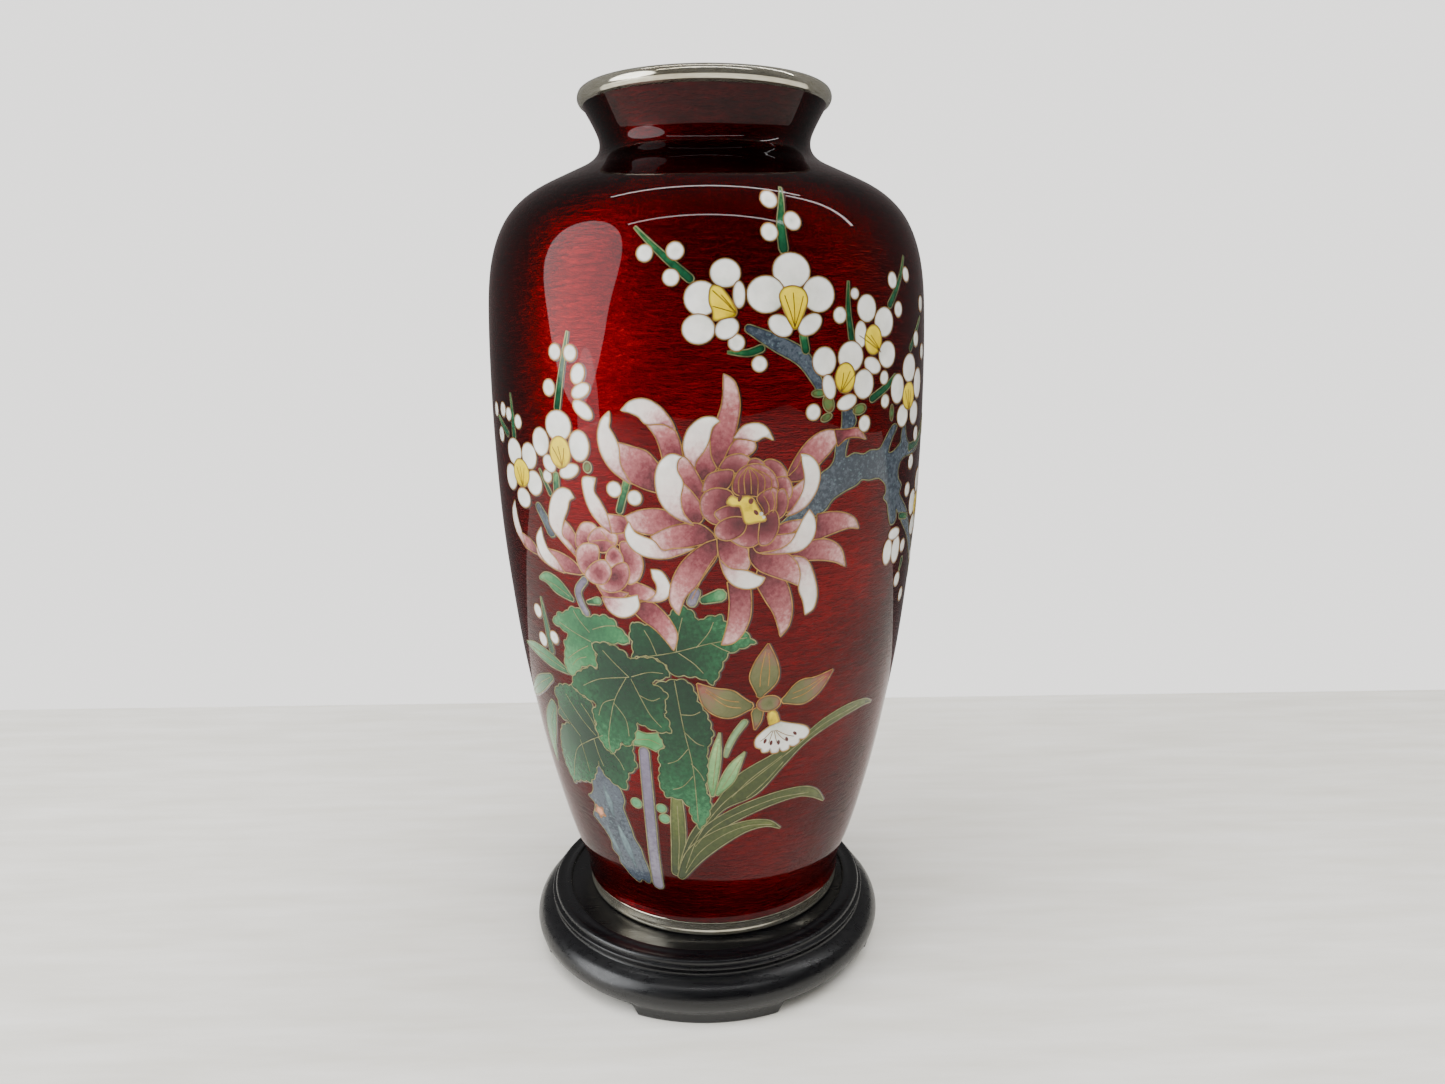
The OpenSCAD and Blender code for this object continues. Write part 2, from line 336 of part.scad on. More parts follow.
mum_leaves_dark_at = [
    [[-31.8, 94.7], [-28.5, 95.7], [-25.6, 95.3], [-22.6, 94.1], [-20.6, 91.8], [-18.5, 92.6],
        [-14.6, 92.8], [-11.4, 90.6], [-10.8, 88], [-13.8, 86.9], [-15.8, 85.9], [-12.6, 84],
        [-11.5, 82.4], [-12.4, 80], [-12, 77.6], [-13, 77.2], [-11.6, 74.7], [-11.2, 71.5],
        [-14.4, 71.4], [-17.4, 72.4], [-20.4, 73.6], [-21.2, 70.6], [-22.6, 67.1], [-25, 65.3],
        [-25.9, 66.8], [-27.9, 63.8], [-30.3, 62.1], [-32.9, 64.7], [-34.4, 68.8], [-33.8, 71.2],
        [-34.6, 74.1], [-32.4, 76.9], [-36.2, 78.2], [-39.7, 79.7], [-41, 80.7], [-39.6, 83.8],
        [-36.8, 85.9], [-35, 86.7], [-33.2, 88], [-30.3, 87.4], [-30.8, 89.6], [-30.4, 92]],
    [[-9.8, 88.6], [-12.4, 92.4], [-17.4, 93.6], [-20, 92.4], [-19.6, 96], [-20.2, 99.4],
        [-19.2, 102.6], [-15, 102], [-11.4, 101.8], [-10, 105], [-7.4, 108], [-4.8, 106.6], [-3, 103.6],
        [-0.6, 104.8], [2.4, 105.2], [3.8, 103], [7.2, 101.4], [10.8, 97.2], [7, 95.8], [4, 94.6],
        [2.6, 91.4], [1.6, 88.4], [0.4, 86], [-2.4, 87.8], [-5.6, 88.4]],
    [[-8.8, 87.2], [-6.2, 86.8], [-4.4, 84], [-3.6, 81], [-1.2, 76.6], [0.2, 71], [-1.6, 66],
        [-1.4, 60], [-2.2, 54], [-0.6, 49], [-1.8, 44], [-4, 40.4], [-6.4, 44.4], [-7, 47.6],
        [-9.4, 50.2], [-13.8, 50.8], [-15.6, 55], [-14.8, 60.6], [-15, 64.6], [-12.4, 67], [-13, 70.8],
        [-10.8, 71.4], [-12, 76.4], [-10, 78.4], [-10.6, 82.4], [-13.2, 85.8]],
    [[-34.4, 77], [-38.6, 78.6], [-41.5, 80.4], [-46.8, 79.2], [-50.4, 76.4], [-49.2, 72.4],
        [-50.4, 68.8], [-44.8, 67.8], [-49.7, 65.6], [-52.4, 61.8], [-53.8, 57], [-53.6, 51],
        [-50.9, 46.5], [-46.8, 48.6], [-41.5, 49.7], [-38.6, 52.6], [-35.9, 58.2], [-34.4, 54.6],
        [-30.6, 51.8], [-26.8, 50.9], [-26.4, 54], [-25, 56.9], [-22.4, 59.2], [-22.9, 62.4],
        [-22.8, 65.9], [-27, 65], [-30.4, 62], [-33.6, 65.4], [-34.6, 70], [-34.6, 74]]
];
mum_leaves_pale_at = concat([
    [[-45.4, 98.4], [-42.6, 101.4], [-40, 102], [-37, 104.2], [-34.4, 104], [-32.4, 102], [-30, 103],
        [-27, 103.5], [-24.6, 102.6], [-23.4, 100.6], [-21.4, 99], [-20.6, 96.6], [-26, 96],
        [-31.8, 95.2], [-30.8, 91], [-30.6, 88.4], [-34, 88.2], [-37, 86.6], [-40, 83.4], [-42.2, 85.3],
        [-42.4, 88.4], [-41.6, 91], [-41.4, 93.7], [-39.4, 95.6], [-41.6, 97.2]],
    [[-22.2, 66.2], [-22, 69], [-20.6, 71], [-18, 70.4], [-14.4, 71], [-13.2, 67.4], [-15.8, 65.2],
        [-19, 66.4]]
], ribbons([
    [[-42, 84.4, 0.6], [-49, 86.2, 2.1], [-57, 87.4, 1.8], [-65, 87, 0.2]],
    [[-50.8, 80.4, 1.0], [-58, 76.6, 2.2], [-66, 72, 1.8], [-74, 68, 0.2]],
    [[-53, 71, 1.6], [-57.4, 64.6, 3.0], [-60.6, 58, 2.6], [-61.4, 50.4, 0.4]],
    [[-36.6, 106.6, 0.6], [-41, 109.2, 2.1], [-45, 111, 1.6], [-48.6, 110.3, 0.2]],
    [[-31.4, 106.6, 0.4], [-28.4, 107.4, 1.0]], [[-1.6, 109.4, 0.9], [2.2, 110.6, 1.6]]
]));
mum_stems_at = ribbons([
    [[-19.4, 64.6, 1.4], [-19.8, 50, 1.5], [-20.2, 40, 1.5], [-20.8, 30, 1.5], [-21.4, 17.6, 1.6]],
    [[-31.8, 112.6, 0.9], [-34.2, 109.4, 1.0], [-33.6, 106, 1.0], [-32.2, 103.4, 0.9]],
    [[-3.4, 111.4, 1.1], [-4.4, 108.8, 1.2]]
]);
mum_stem_buds_at = dots([[-24.1, 47.1, 1.6], [-15.9, 46.6, 1.4], [-15.2, 43.2, 1.5]]);

orchid_lip_at = concat(ribbons([[[16.2, 75.8, 1.3], [16.8, 73.6, 1.4]]]), [
    [[15, 72], [12.4, 68.6], [13.2, 64.6], [17, 64.4], [22.4, 64.2], [28, 67.8], [24.4, 72.2],
        [20, 72.8]]
]);
orchid_sepals_at = concat(ribbons([
    [[12.6, 82.4, 1.0], [13.4, 86.6, 3.8], [13.8, 91.4, 3.0], [14.2, 96.6, 0.1]],
    [[9.6, 79.2, 1.2], [5, 79.8, 3.9], [0.4, 81.8, 3.4], [-3.6, 86.2, 0.1]],
    [[19.6, 79.8, 1.0], [24, 81.2, 3.5], [28.6, 82.6, 2.6], [33.6, 86, 0.1]],
    [[12, 77, 1.5], [12, 74.6, 1.1], [11.5, 72, 0.1]]
]), ovals([[15, 79.4, 3.2, 2.2, 0]]));
orchid_stem_at = ribbons([[[8.6, 74.4, 0.8], [6.2, 71, 0.8], [4.4, 67.2, 0.7], [3.7, 64.4, 0.4]]]);
orchid_shoots_at = ribbons([
    [[-0.1, 52, 0.5], [0, 58, 1.5], [1, 65, 1.3], [2, 71.6, 0.1]],
    [[1.4, 52.4, 0.6], [4.4, 57, 1.8], [6.4, 61.2, 1.4], [9, 65.2, 0.1]]
]);
orchid_blades_at = ribbons([
    [[-13.4, 24, 1.2], [-11.6, 34, 1.9], [-11, 43, 1.9], [-10.8, 50.4, 1.4]],
    [[-11, 25, 1.0], [-5.6, 37.6, 1.6], [1.6, 47.6, 1.4], [10, 54.6, 4.2], [19, 61.4, 2.6],
        [26, 66, 1.2], [33, 69.8, 1.5], [41, 71.8, 1.5], [49, 71.8, 0.9], [54, 70.4, 0.1]],
    [[-7, 33, 1.0], [-1, 40, 1.8], [8, 45.6, 2.0], [18, 48.8, 1.8], [27, 49.4, 1.5],
        [33, 47.4, 1.2], [38, 43.4, 0.1]],
    [[-11.6, 22.6, 1.0], [-6, 31, 2.6], [2, 37.2, 2.6], [10, 40.6, 1.8], [17, 40.8, 1.0],
        [22, 38.2, 0.1]]
]);

// Whether the boxes round two outlines, with room for their wires, meet.
function low(p, k) = min([for (q = p) q[k]]);
function high(p, k) = max([for (q = p) q[k]]);
function near(p, q, k) = low(p, k) < high(q, k) + room && low(q, k) < high(p, k) + room;
function meet(p, q) = near(p, q, 0) && near(p, q, 1);

// An outline as it is seen square on from one angle.
module patch(outline, angle) {
    polygon([for (p = outline) [radius_at(p[1]) * sin(p[0] - angle), p[1]]]);
}

// The cells from the lowest to the highest. Each is cut back to clear whatever lies over it.
stack = [
    plum_trunk_at, mum_leaves_pale_at, mum_stem_buds_at, mum_stems_at, orchid_blades_at,
    orchid_stem_at, orchid_shoots_at, mum_leaves_dark_at, plum_branches_at, plum_twigs_at,
    plum_sepals_at, mum_small_petals_at, mum_small_curls_at, mum_small_ball_at,
    mum_large_petals_at, mum_large_curls_at, mum_large_ball_at, mum_large_heart_at,
    orchid_sepals_at, orchid_lip_at, plum_buds_at, plum_petals_at, plum_hearts_at
];
function over(level, i) = [for (k = [level : len(stack) - 1], j = [0 : len(stack[k]) - 1])
    if ((k > level || j > i) && meet(stack[level][i], stack[k][j]))
        grown(stack[k][j], wire_t + 2 * play)];

// A thin layer on the ground, shaped by what its children cut out of it.
module inlay(outlines) {
    bottom = min([for (p = outlines) low(p, 1)]) - margin;
    top = max([for (p = outlines) high(p, 1)]) + margin;
    translate([0, 0, foot_z]) intersection() {
        rotate_extrude($fn = fine) layer(-cell_t, 0, bottom, top);
        union() children();
    }
}

// A prism that points from the vase's axis to one angle.
module towards(angle) {
    rotate([90, 0, angle]) translate([0, 0, core_r]) linear_extrude(belly_d / 2) children();
}
function middle(outline) = (low(outline, 0) + high(outline, 0)) / 2;

// The cells of one level of the stack.
module cells(level) {
    inlay(stack[level]) for (i = [0 : len(stack[level]) - 1]) {
        angle = middle(stack[level][i]);
        towards(angle) difference() {
            patch(stack[level][i], angle);
            for (q = over(level, i)) patch(q, angle);
        }
    }
}

// The flat wires that stand round the cells of some levels.
module wires(levels) {
    inlay([for (k = levels) each stack[k]]) for (k = levels, i = [0 : len(stack[k]) - 1]) {
        angle = middle(stack[k][i]);
        towards(angle) difference() {
            patch(grown(stack[k][i], play + wire_t), angle);
            patch(grown(stack[k][i], play), angle);
            for (q = over(k, i)) patch(q, angle);
        }
    }
}

module turned() {
    translate([0, 0, foot_z]) rotate_extrude($fn = fine) children();
}

// ---- The stand ----
recess_r = recess_d / 2;
stand_r = stand_d / 2;
foot_r = stand_r - 1.6;
foot_in = foot_r - 8;
hollow_h = arch_h + 1.2;

module stand_outline() {
    tier = smooth_line([
        [recess_r + 0.3, foot_z + recess_h], [recess_r + 1.5, foot_z + recess_h - 0.1],
        [stand_r - 8.2, foot_z + 0.3], [stand_r - 6.8, foot_z + 0.4], [stand_r - 6, foot_z - 0.2],
        [stand_r - 5.9, foot_z - 1.2]
    ], 2);
    bead = smooth_line([
        [stand_r - 5.4, foot_z - 1.3], [stand_r - 4.9, foot_z - 1.8], [stand_r - 5.2, foot_z - 3.2],
        [stand_r - 4.9, foot_z - 4]
    ], 2);
    ring = smooth_line([
        [stand_r - 4.2, foot_z - 4.1], [stand_r - 2.6, foot_z - 5.2], [stand_r - 0.8, foot_z - 7.2],
        [stand_r, foot_z - 9.6], [stand_r - 0.4, foot_z - 11.8], [foot_r + 0.1, foot_z - 13.5],
        [foot_r, foot_z - 14.6]
    ], 3);
    seat = [[0, hollow_h], [0, foot_z], [recess_r, foot_z], [recess_r, foot_z + recess_h - 0.3]];
    under = [[foot_r - 0.4, 0], [foot_in, 0], [foot_in, hollow_h]];
    polygon(concat(seat, tier, bead, ring, under));
}

// The opening between two feet, as a wedge seen from above.
module arch() {
    reach = stand_r + 5;
    spread = tan(22.5);
    translate([0, 0, -1]) linear_extrude(arch_h + 1)
        polygon([[core_r, -core_r * spread], [reach, -reach * spread], [reach, reach * spread],
            [core_r, core_r * spread]]);
}

module stand() {
    color([0.11, 0.11, 0.12]) translate([-vase_off_x, -vase_off_y, 0]) difference() {
        rotate_extrude($fn = fine) stand_outline();
        for (k = [0 : 3]) rotate([0, 0, 45 + k * 90]) arch();
    }
}

// ---- The vessel ----
module copper_body() {
    color([0.72, 0.42, 0.27]) turned() {
        layer(enamel_t + foil_t, wall_t, foot_band_h, mouth_z);
        translate([0, floor_z]) square([radius_at(floor_z) - wall_t + 0.2, copper_t]);
    }
}

module silver_foil() {
    color([0.8, 0.8, 0.82]) turned() layer(enamel_t, enamel_t + foil_t, foot_band_h, mouth_z);
}

module red_ground() {
    color([0.45, 0.02, 0.04]) turned() layer(0, enamel_t, foot_band_h, mouth_z);
}

module inner_lining() {
    bottom = floor_z + copper_t;
    color([0.2, 0.04, 0.05]) turned() {
        layer(wall_t, wall_t + lining_t, bottom, mouth_z);
        translate([0, bottom]) square([radius_at(bottom) - wall_t - 0.2, lining_t]);
    }
}

module base_enamel() {
    color([0.12, 0.03, 0.03]) turned() translate([0, foot_band_h]) square([foot_in_r + 1.2, base_t]);
}

// The band over the lip: a rounded ring that covers the edges of all the layers.
module lip_band() {
    lip_r = radius_at(mouth_z);
    color([0.75, 0.74, 0.68]) turned() polygon(concat(
        smooth_line([
            [lip_r - 0.1, mouth_z], [lip_r + 1.0, mouth_z + 0.5], [lip_r + 1.5, mouth_z + 1.9],
            [lip_r + 0.8, vase_h - 0.6], [lip_r - 0.7, vase_h], [lip_in_r + 0.8, vase_h - 0.3],
            [lip_in_r, vase_h - 1.4]
        ], 3),
        [[lip_in_r, mouth_z]]));
}

// The band round the foot, with a fine bead where it meets the glass.
module foot_band() {
    foot_r_out = 40.5 * scale_r;
    color([0.75, 0.74, 0.68]) turned() polygon(concat(
        smooth_line([
            [foot_r_out - 0.6, 0], [foot_r_out, 0.6], [foot_r_out - 0.3, 2.4],
            [foot_r_out - 0.5, foot_band_h - 0.9], [foot_r_out, foot_band_h - 0.5],
            [foot_r_out - 0.3, foot_band_h]
        ], 3),
        [[foot_in_r, foot_band_h], [foot_in_r, 0.6], [foot_in_r + 0.6, 0]]));
}

// ---- The cells, from the lowest level of the stack to the highest ----
module plum_trunk() color([0.42, 0.48, 0.52]) cells(0);
module mum_leaves_pale() color([0.3, 0.55, 0.38]) cells(1);
module mum_stem_buds() color([0.25, 0.5, 0.33]) cells(2);
module mum_stems() color([0.55, 0.53, 0.6]) cells(3);
module orchid_blades() color([0.36, 0.4, 0.22]) cells(4);
module orchid_stem() color([0.45, 0.6, 0.45]) cells(5);
module orchid_shoots() color([0.45, 0.65, 0.45]) cells(6);
module mum_leaves_dark() color([0.13, 0.33, 0.22]) cells(7);
module plum_branches() color([0.4, 0.44, 0.48]) cells(8);
module plum_twigs() color([0.12, 0.35, 0.22]) cells(9);
module plum_sepals() color([0.35, 0.55, 0.4]) cells(10);
module mum_small_petals() color([0.7, 0.48, 0.52]) cells(11);
module mum_small_curls() color([0.93, 0.91, 0.88]) cells(12);
module mum_small_ball() color([0.66, 0.42, 0.47]) cells(13);
module mum_large_petals() color([0.7, 0.48, 0.52]) cells(14);
module mum_large_curls() color([0.93, 0.91, 0.88]) cells(15);
module mum_large_ball() color([0.62, 0.38, 0.44]) cells(16);
module mum_large_heart() color([0.88, 0.78, 0.16]) cells(17);
module orchid_sepals() color([0.52, 0.52, 0.36]) cells(18);
module orchid_lip() color([0.93, 0.92, 0.8]) cells(19);
module plum_buds() color([0.92, 0.92, 0.9]) cells(20);
module plum_petals() color([0.92, 0.92, 0.9]) cells(21);
module plum_hearts() color([0.88, 0.78, 0.16]) cells(22);

// ---- The wires, flower by flower ----
module plum_wires() color([0.7, 0.6, 0.3]) wires([20, 21, 22]);
module mum_small_wires() color([0.7, 0.6, 0.3]) wires([11, 12, 13]);
module mum_curl_wires() color([0.7, 0.6, 0.3]) wires([15, 16, 17]);
module mum_petal_wires() color([0.7, 0.6, 0.3]) wires([14]);
module leaf_wires() color([0.7, 0.66, 0.5]) wires([1, 7]);
module orchid_wires() color([0.7, 0.66, 0.5]) wires([4, 18, 19]);

stand();
copper_body();
silver_foil();
red_ground();
inner_lining();
base_enamel();
lip_band();
foot_band();
plum_trunk();
mum_leaves_pale();
mum_stem_buds();
mum_stems();
orchid_blades();
orchid_stem();
orchid_shoots();
mum_leaves_dark();
plum_branches();
plum_twigs();
plum_sepals();
mum_small_petals();
mum_small_curls();
mum_small_ball();
mum_large_petals();
mum_large_curls();
mum_large_ball();
mum_large_heart();
orchid_sepals();
orchid_lip();
plum_buds();
plum_petals();
plum_hearts();
plum_wires();
mum_small_wires();
mum_curl_wires();
mum_petal_wires();
leaf_wires();
orchid_wires();
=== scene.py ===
"""A cloisonne vase in transparent red over foil, with wired flowers, resting in a black turned stand."""
import bpy
import math
import numpy as np
from mathutils import Matrix, Vector
from mathutils.geometry import delaunay_2d_cdt


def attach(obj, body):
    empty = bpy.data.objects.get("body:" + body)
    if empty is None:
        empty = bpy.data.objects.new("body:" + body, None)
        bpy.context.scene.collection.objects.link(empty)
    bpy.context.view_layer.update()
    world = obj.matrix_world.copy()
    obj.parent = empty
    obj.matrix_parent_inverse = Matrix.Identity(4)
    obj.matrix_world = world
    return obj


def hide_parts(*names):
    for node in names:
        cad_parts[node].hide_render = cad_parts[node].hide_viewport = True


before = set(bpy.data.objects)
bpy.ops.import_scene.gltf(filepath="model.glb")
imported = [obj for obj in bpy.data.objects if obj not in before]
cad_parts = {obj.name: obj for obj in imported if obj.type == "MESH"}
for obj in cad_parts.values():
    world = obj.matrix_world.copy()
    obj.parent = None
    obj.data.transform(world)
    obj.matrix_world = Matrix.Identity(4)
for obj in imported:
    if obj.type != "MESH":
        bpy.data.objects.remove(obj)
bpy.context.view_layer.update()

MM = 0.001
FOOT = 16.8                 # the vase's foot above the table
LOW, TOP = 4.8, 235.6       # the red glass starts above the foot ring and ends below the lip ring
STAND_MIDDLE = (-2.1, -3.0)
WIRE = 0.28                 # width of the wires between cells
PAINTED_SHADOW_REACH = 0.14                 # how far the painted shadow beside a wire reaches, and how far it is shifted right and down, away from the light
PAINTED_SHADOW_RIGHT, PAINTED_SHADOW_DOWN = 0.30, 0.10
WIRE_ID, PAINTED_SHADOW_ID = 10000, 20000   # added to a cell's number for its wire's and its painted shadow's triangles
TAU = 2 * math.pi
rng = np.random.default_rng(7)


def lin(r, g, b, a=1.0):
    """A colour given as 0 to 255 on a screen."""
    f = [c / 255 for c in (r, g, b)]
    return tuple(c / 12.92 if c <= 0.04045 else ((c + 0.055) / 1.055) ** 2.4 for c in f) + (a,)


# ---------------------------------------------------------------- the body's side line
def catmull(points, steps):
    """A smooth line through points."""
    p = np.array(points, float)
    n = len(p) - 1
    out = []
    for i in range(n):
        a, b, c, d = p[max(i - 1, 0)], p[i], p[i + 1], p[min(i + 2, n)]
        for s in range(steps):
            t = s / steps
            out.append(0.5 * (2 * b + t * (c - a) + t * t * (2 * a - 5 * b + 4 * c - d)
                              + t * t * t * (3 * b - a - 3 * c + d)))
    out.append(p[n])
    return np.array(out)


# (height, radius) in mm, then smoothed and read off a fine table
SIDE = catmull([(LOW, 40.9), (8, 40.8), (14, 42.6), (20, 44.9), (30, 47.8), (45, 51.5), (60, 54.5),
                (80, 57.9), (100, 60.3), (120, 62.1), (140, 63.0), (158, 63.25), (175, 63.0),
                (188, 62.2), (197, 60.4), (204, 57.4), (209, 53.4), (213, 48.0), (217, 39.8),
                (220, 33.6), (223, 30.5), (226.5, 29.9), (230.5, 31.4), (TOP, 34.2)], 10)
Z_STEP = 0.2
REACH = 8
Z_TABLE = np.arange(LOW, TOP + 0.01, Z_STEP)
R_TABLE = np.interp(Z_TABLE, SIDE[:, 0], SIDE[:, 1])
weights = np.exp(-0.5 * (np.arange(-REACH, REACH + 1) / 3.0) ** 2)
weights /= weights.sum()
R_TABLE = np.convolve(np.pad(R_TABLE, REACH, mode="reflect", reflect_type="odd"), weights, mode="valid")
S_TABLE = np.gradient(R_TABLE, Z_STEP)


def radius(z):
    return np.interp(z, Z_TABLE, R_TABLE)


def slope(z):
    return np.interp(z, Z_TABLE, S_TABLE)


def on_body(az, off=0.0):
    """Places and outward directions of (degrees, height) points, off mm proud of the body."""
    a = np.radians(az[:, 0])
    z = az[:, 1]
    r, s = radius(z), slope(z)
    length = np.sqrt(1 + s * s)
    nr, nz = 1 / length, -s / length
    q = r + off * nr
    place = np.stack([q * np.sin(a), -q * np.cos(a), z + off * nz + FOOT], 1) * MM
    way = np.stack([nr * np.sin(a), -nr * np.cos(a), nz], 1)
    return place, way


def degree_mm(z):
    """How many mm one degree spans at a height."""
    return radius(z) * math.pi / 180


# ---------------------------------------------------------------- outlines of cells, in (degrees, mm)
def oval(a, z, w, h, tilt=0.0, n=24):
    """An ellipse: its middle, its half width and half height in mm, and its tilt in degrees."""
    t = np.arange(n) * TAU / n
    x, y = w * np.cos(t), h * np.sin(t)
    c, s = math.cos(math.radians(tilt)), math.sin(math.radians(tilt))
    return np.stack([(x * c - y * s) / degree_mm(z) + a, x * s + y * c + z], 1)


def ribbon(line, steps=6):
    """The outline of a band along a line of (degrees, mm, half width), and its smooth middle line."""
    p = catmull(line, steps)
    k = degree_mm(p[:, 1])
    d = np.gradient(p[:, :2], axis=0)
    d[:, 0] *= k
    d /= np.linalg.norm(d, axis=1)[:, None]
    n = np.stack([-d[:, 1], d[:, 0]], 1)
    w = np.maximum(p[:, 2], 0.04)

    def side(sign):
        return np.stack([p[:, 0] + sign * n[:, 0] * w / k, p[:, 1] + sign * n[:, 1] * w], 1)

    def cap(i, way):
        if w[i] < 0.3:
            return np.zeros((0, 2))
        t = np.radians([45, 90, 135])
        u = np.outer(np.cos(t), n[i]) + np.outer(np.sin(t), d[i] * way)
        return np.stack([p[i, 0] + u[:, 0] * w[i] / k[i], p[i, 1] + u[:, 1] * w[i]], 1)

    left, right = side(1), side(-1)
    return np.concatenate([left, cap(-1, 1), right[::-1], cap(0, -1)[::-1]]), p[:, :2]


def dense(o, gap=0.8):
    """An outline with no stretch longer than gap."""
    out = []
    for i in range(len(o)):
        a, b = o[i], o[(i + 1) % len(o)]
        k = degree_mm((a[1] + b[1]) / 2)
        m = max(1, int(math.ceil(math.hypot((b[0] - a[0]) * k, b[1] - a[1]) / gap)))
        for s in range(m):
            out.append(a + (b - a) * s / m)
    return np.array(out)


def rounded(o, times=1):
    """Corners cut and cut again, so that a few points make a soft outline."""
    for _ in range(times):
        q = np.roll(o, -1, axis=0)
        o = np.stack([0.78 * o + 0.22 * q, 0.22 * o + 0.78 * q], 1).reshape(-1, 2)
    return o


def shape(points, steps=5):
    """A smooth closed outline through points. One with a third number is a sharp corner."""
    corner = [i for i, p in enumerate(points) if len(p) > 2]
    p = [tuple(q[:2]) for q in points]
    if not corner:
        ring = catmull(p[-2:] + p + p[:2], steps)
        return ring[2 * steps:-(steps + 1)]
    p = p[corner[0]:] + p[:corner[0] + 1]
    stops = [i - corner[0] for i in corner] + [len(p) - 1]
    return np.concatenate([catmull(p[a:b + 1], steps)[:-1] for a, b in zip(stops, stops[1:])])


def area(o):
    """Twice the area, negative for an outline drawn clockwise."""
    x, y = o[:, 0], o[:, 1]
    return np.sum(x * np.roll(y, -1) - y * np.roll(x, -1))


def grown(o, by):
    """An outline moved outwards on the body by some mm."""
    k = degree_mm(o[:, 1])
    d = np.roll(o, -1, axis=0) - np.roll(o, 1, axis=0)
    d[:, 0] *= k
    d /= np.maximum(np.linalg.norm(d, axis=1), 1e-6)[:, None]
    way = by * (1 if area(o) > 0 else -1)
    return np.stack([o[:, 0] + d[:, 1] * way / k, o[:, 1] - d[:, 0] * way], 1)


def toothed(o, pitch=3.0, depth=0.5):
    """A leaf's outline with small rounded teeth."""
    o = dense(o, 0.35)
    step = np.diff(np.vstack([o, o[:1]]), axis=0)
    length = np.hypot(step[:, 0] * degree_mm(o[:, 1]), step[:, 1])
    along = np.cumsum(length) - length
    teeth = round(length.sum() / pitch)
    return grown(o, depth * (np.abs(np.sin(math.pi * teeth * along / length.sum())) - 0.5))


def inside(points, o):
    """Which points lie inside an outline."""
    x, y = points[:, 0], points[:, 1]
    hit = np.zeros(len(points), bool)
    a, b = o, np.roll(o, -1, axis=0)
    for (x0, y0), (x1, y1) in zip(a, b):
        if y0 != y1:
            across = (y0 > y) != (y1 > y)
            hit ^= across & (x < (x1 - x0) * (y - y0) / (y1 - y0) + x0)
    return hit


def edge_distance(points, o):
    """How far in mm points lie from an outline."""
    k = degree_mm(np.mean(o[:, 1]))
    p = points * [k, 1]
    a = o * [k, 1]
    b = np.roll(a, -1, axis=0)
    d = b - a
    length = np.maximum(np.sum(d * d, 1), 1e-9)
    best = np.full(len(p), 1e9)
    for i in range(len(a)):
        t = np.clip(((p - a[i]) @ d[i]) / length[i], 0, 1)
        q = p - (a[i] + t[:, None] * d[i])
        best = np.minimum(best, np.sum(q * q, 1))
    return np.sqrt(best)


# ---------------------------------------------------------------- the design, drawn from the lowest cell up
GILT, PALE, DARK = "gilt_wires", "pale_wires", "dark_wires"
PALE_WIRED = ("bark", "pale_leaves", "bright_leaves", "leaves", "stem_buds", "stems", "blades",
              "young_stems", "shoots", "twigs", "calyxes")
cells = []


def cell(piece, o, line=None, hub=None, bare=False, painted_shadow=True):
    """One cell. Its colour changes along its line or away from its hub. A bare one has no wire."""
    wire = None if bare else PALE if piece in PALE_WIRED else GILT
    cells.append({"piece": piece, "o": dense(o), "line": line, "hub": hub, "wire": wire,
                  "painted_shadow": painted_shadow and not bare, "seed": rng.random(), "thread": False})


def ovals(piece, rows, hubs=None, bare=False):
    """Ellipses. Each has the nearest of the hubs, or its own middle when none are given."""
    for row in rows:
        a, z = row[:2]
        hub = hubs and min(hubs, key=lambda q: math.hypot((q[0] - a) * 1.05, q[1] - z))
        cell(piece, oval(*row), hub=hub, bare=bare)


def ribbons(piece, rows, bare=False):
    for row in rows:
        o, line = ribbon(row)
        cell(piece, o, line=line, bare=bare)


def shapes(piece, rows):
    """Cells given as (root, outline), so that each one's colour changes away from its root."""
    for root, outline in rows:
        cell(piece, shape(outline), hub=root)


def threads(piece, rows, width):
    """Single wires that lie within cells: lines of (degrees, mm)."""
    for row in rows:
        o, line = ribbon([(a, z, width) for a, z in row], 5)
        cells.append({"piece": piece, "o": dense(o), "line": line, "hub": None, "wire": None,
                      "painted_shadow": False, "seed": 0.5, "thread": True})


# The two blossoms seen from the front: the heart's middle, its root, then its outline.
FRONT_HEARTS = [
    ((3.2, 181.6), (6.2, 179.4), [(0.8, 185.8), (3, 185.5), (4.8, 183), (6.4, 180), (6, 178.6),
                                  (4, 178.4), (1.2, 177.5), (1.3, 180), (0.4, 182)]),
    ((19, 181.2), (19.3, 175), [(15.6, 183), (16.6, 185), (19, 185.6), (21.6, 184.8), (22.6, 182.4),
                                (21.4, 179), (19.4, 174.8), (17.6, 178)]),
]
# The other hearts: middle, half width, half height, and the root that the threads spring from.
PLUM_HEARTS = [
    (41.2, 172.6, 3.2, 3.6, (44, 169.4)), (32.4, 163.6, 3.1, 3.6, (31, 160)),
    (58, 157.5, 4, 3.6, (58.4, 153.6)), (72, 125.5, 3.9, 3.5, (72, 121.6)),
    (-36.5, 145.6, 3.5, 4, (-36, 142.2)), (-52.3, 138.6, 4.2, 3.7, (-52, 134.8)),
]
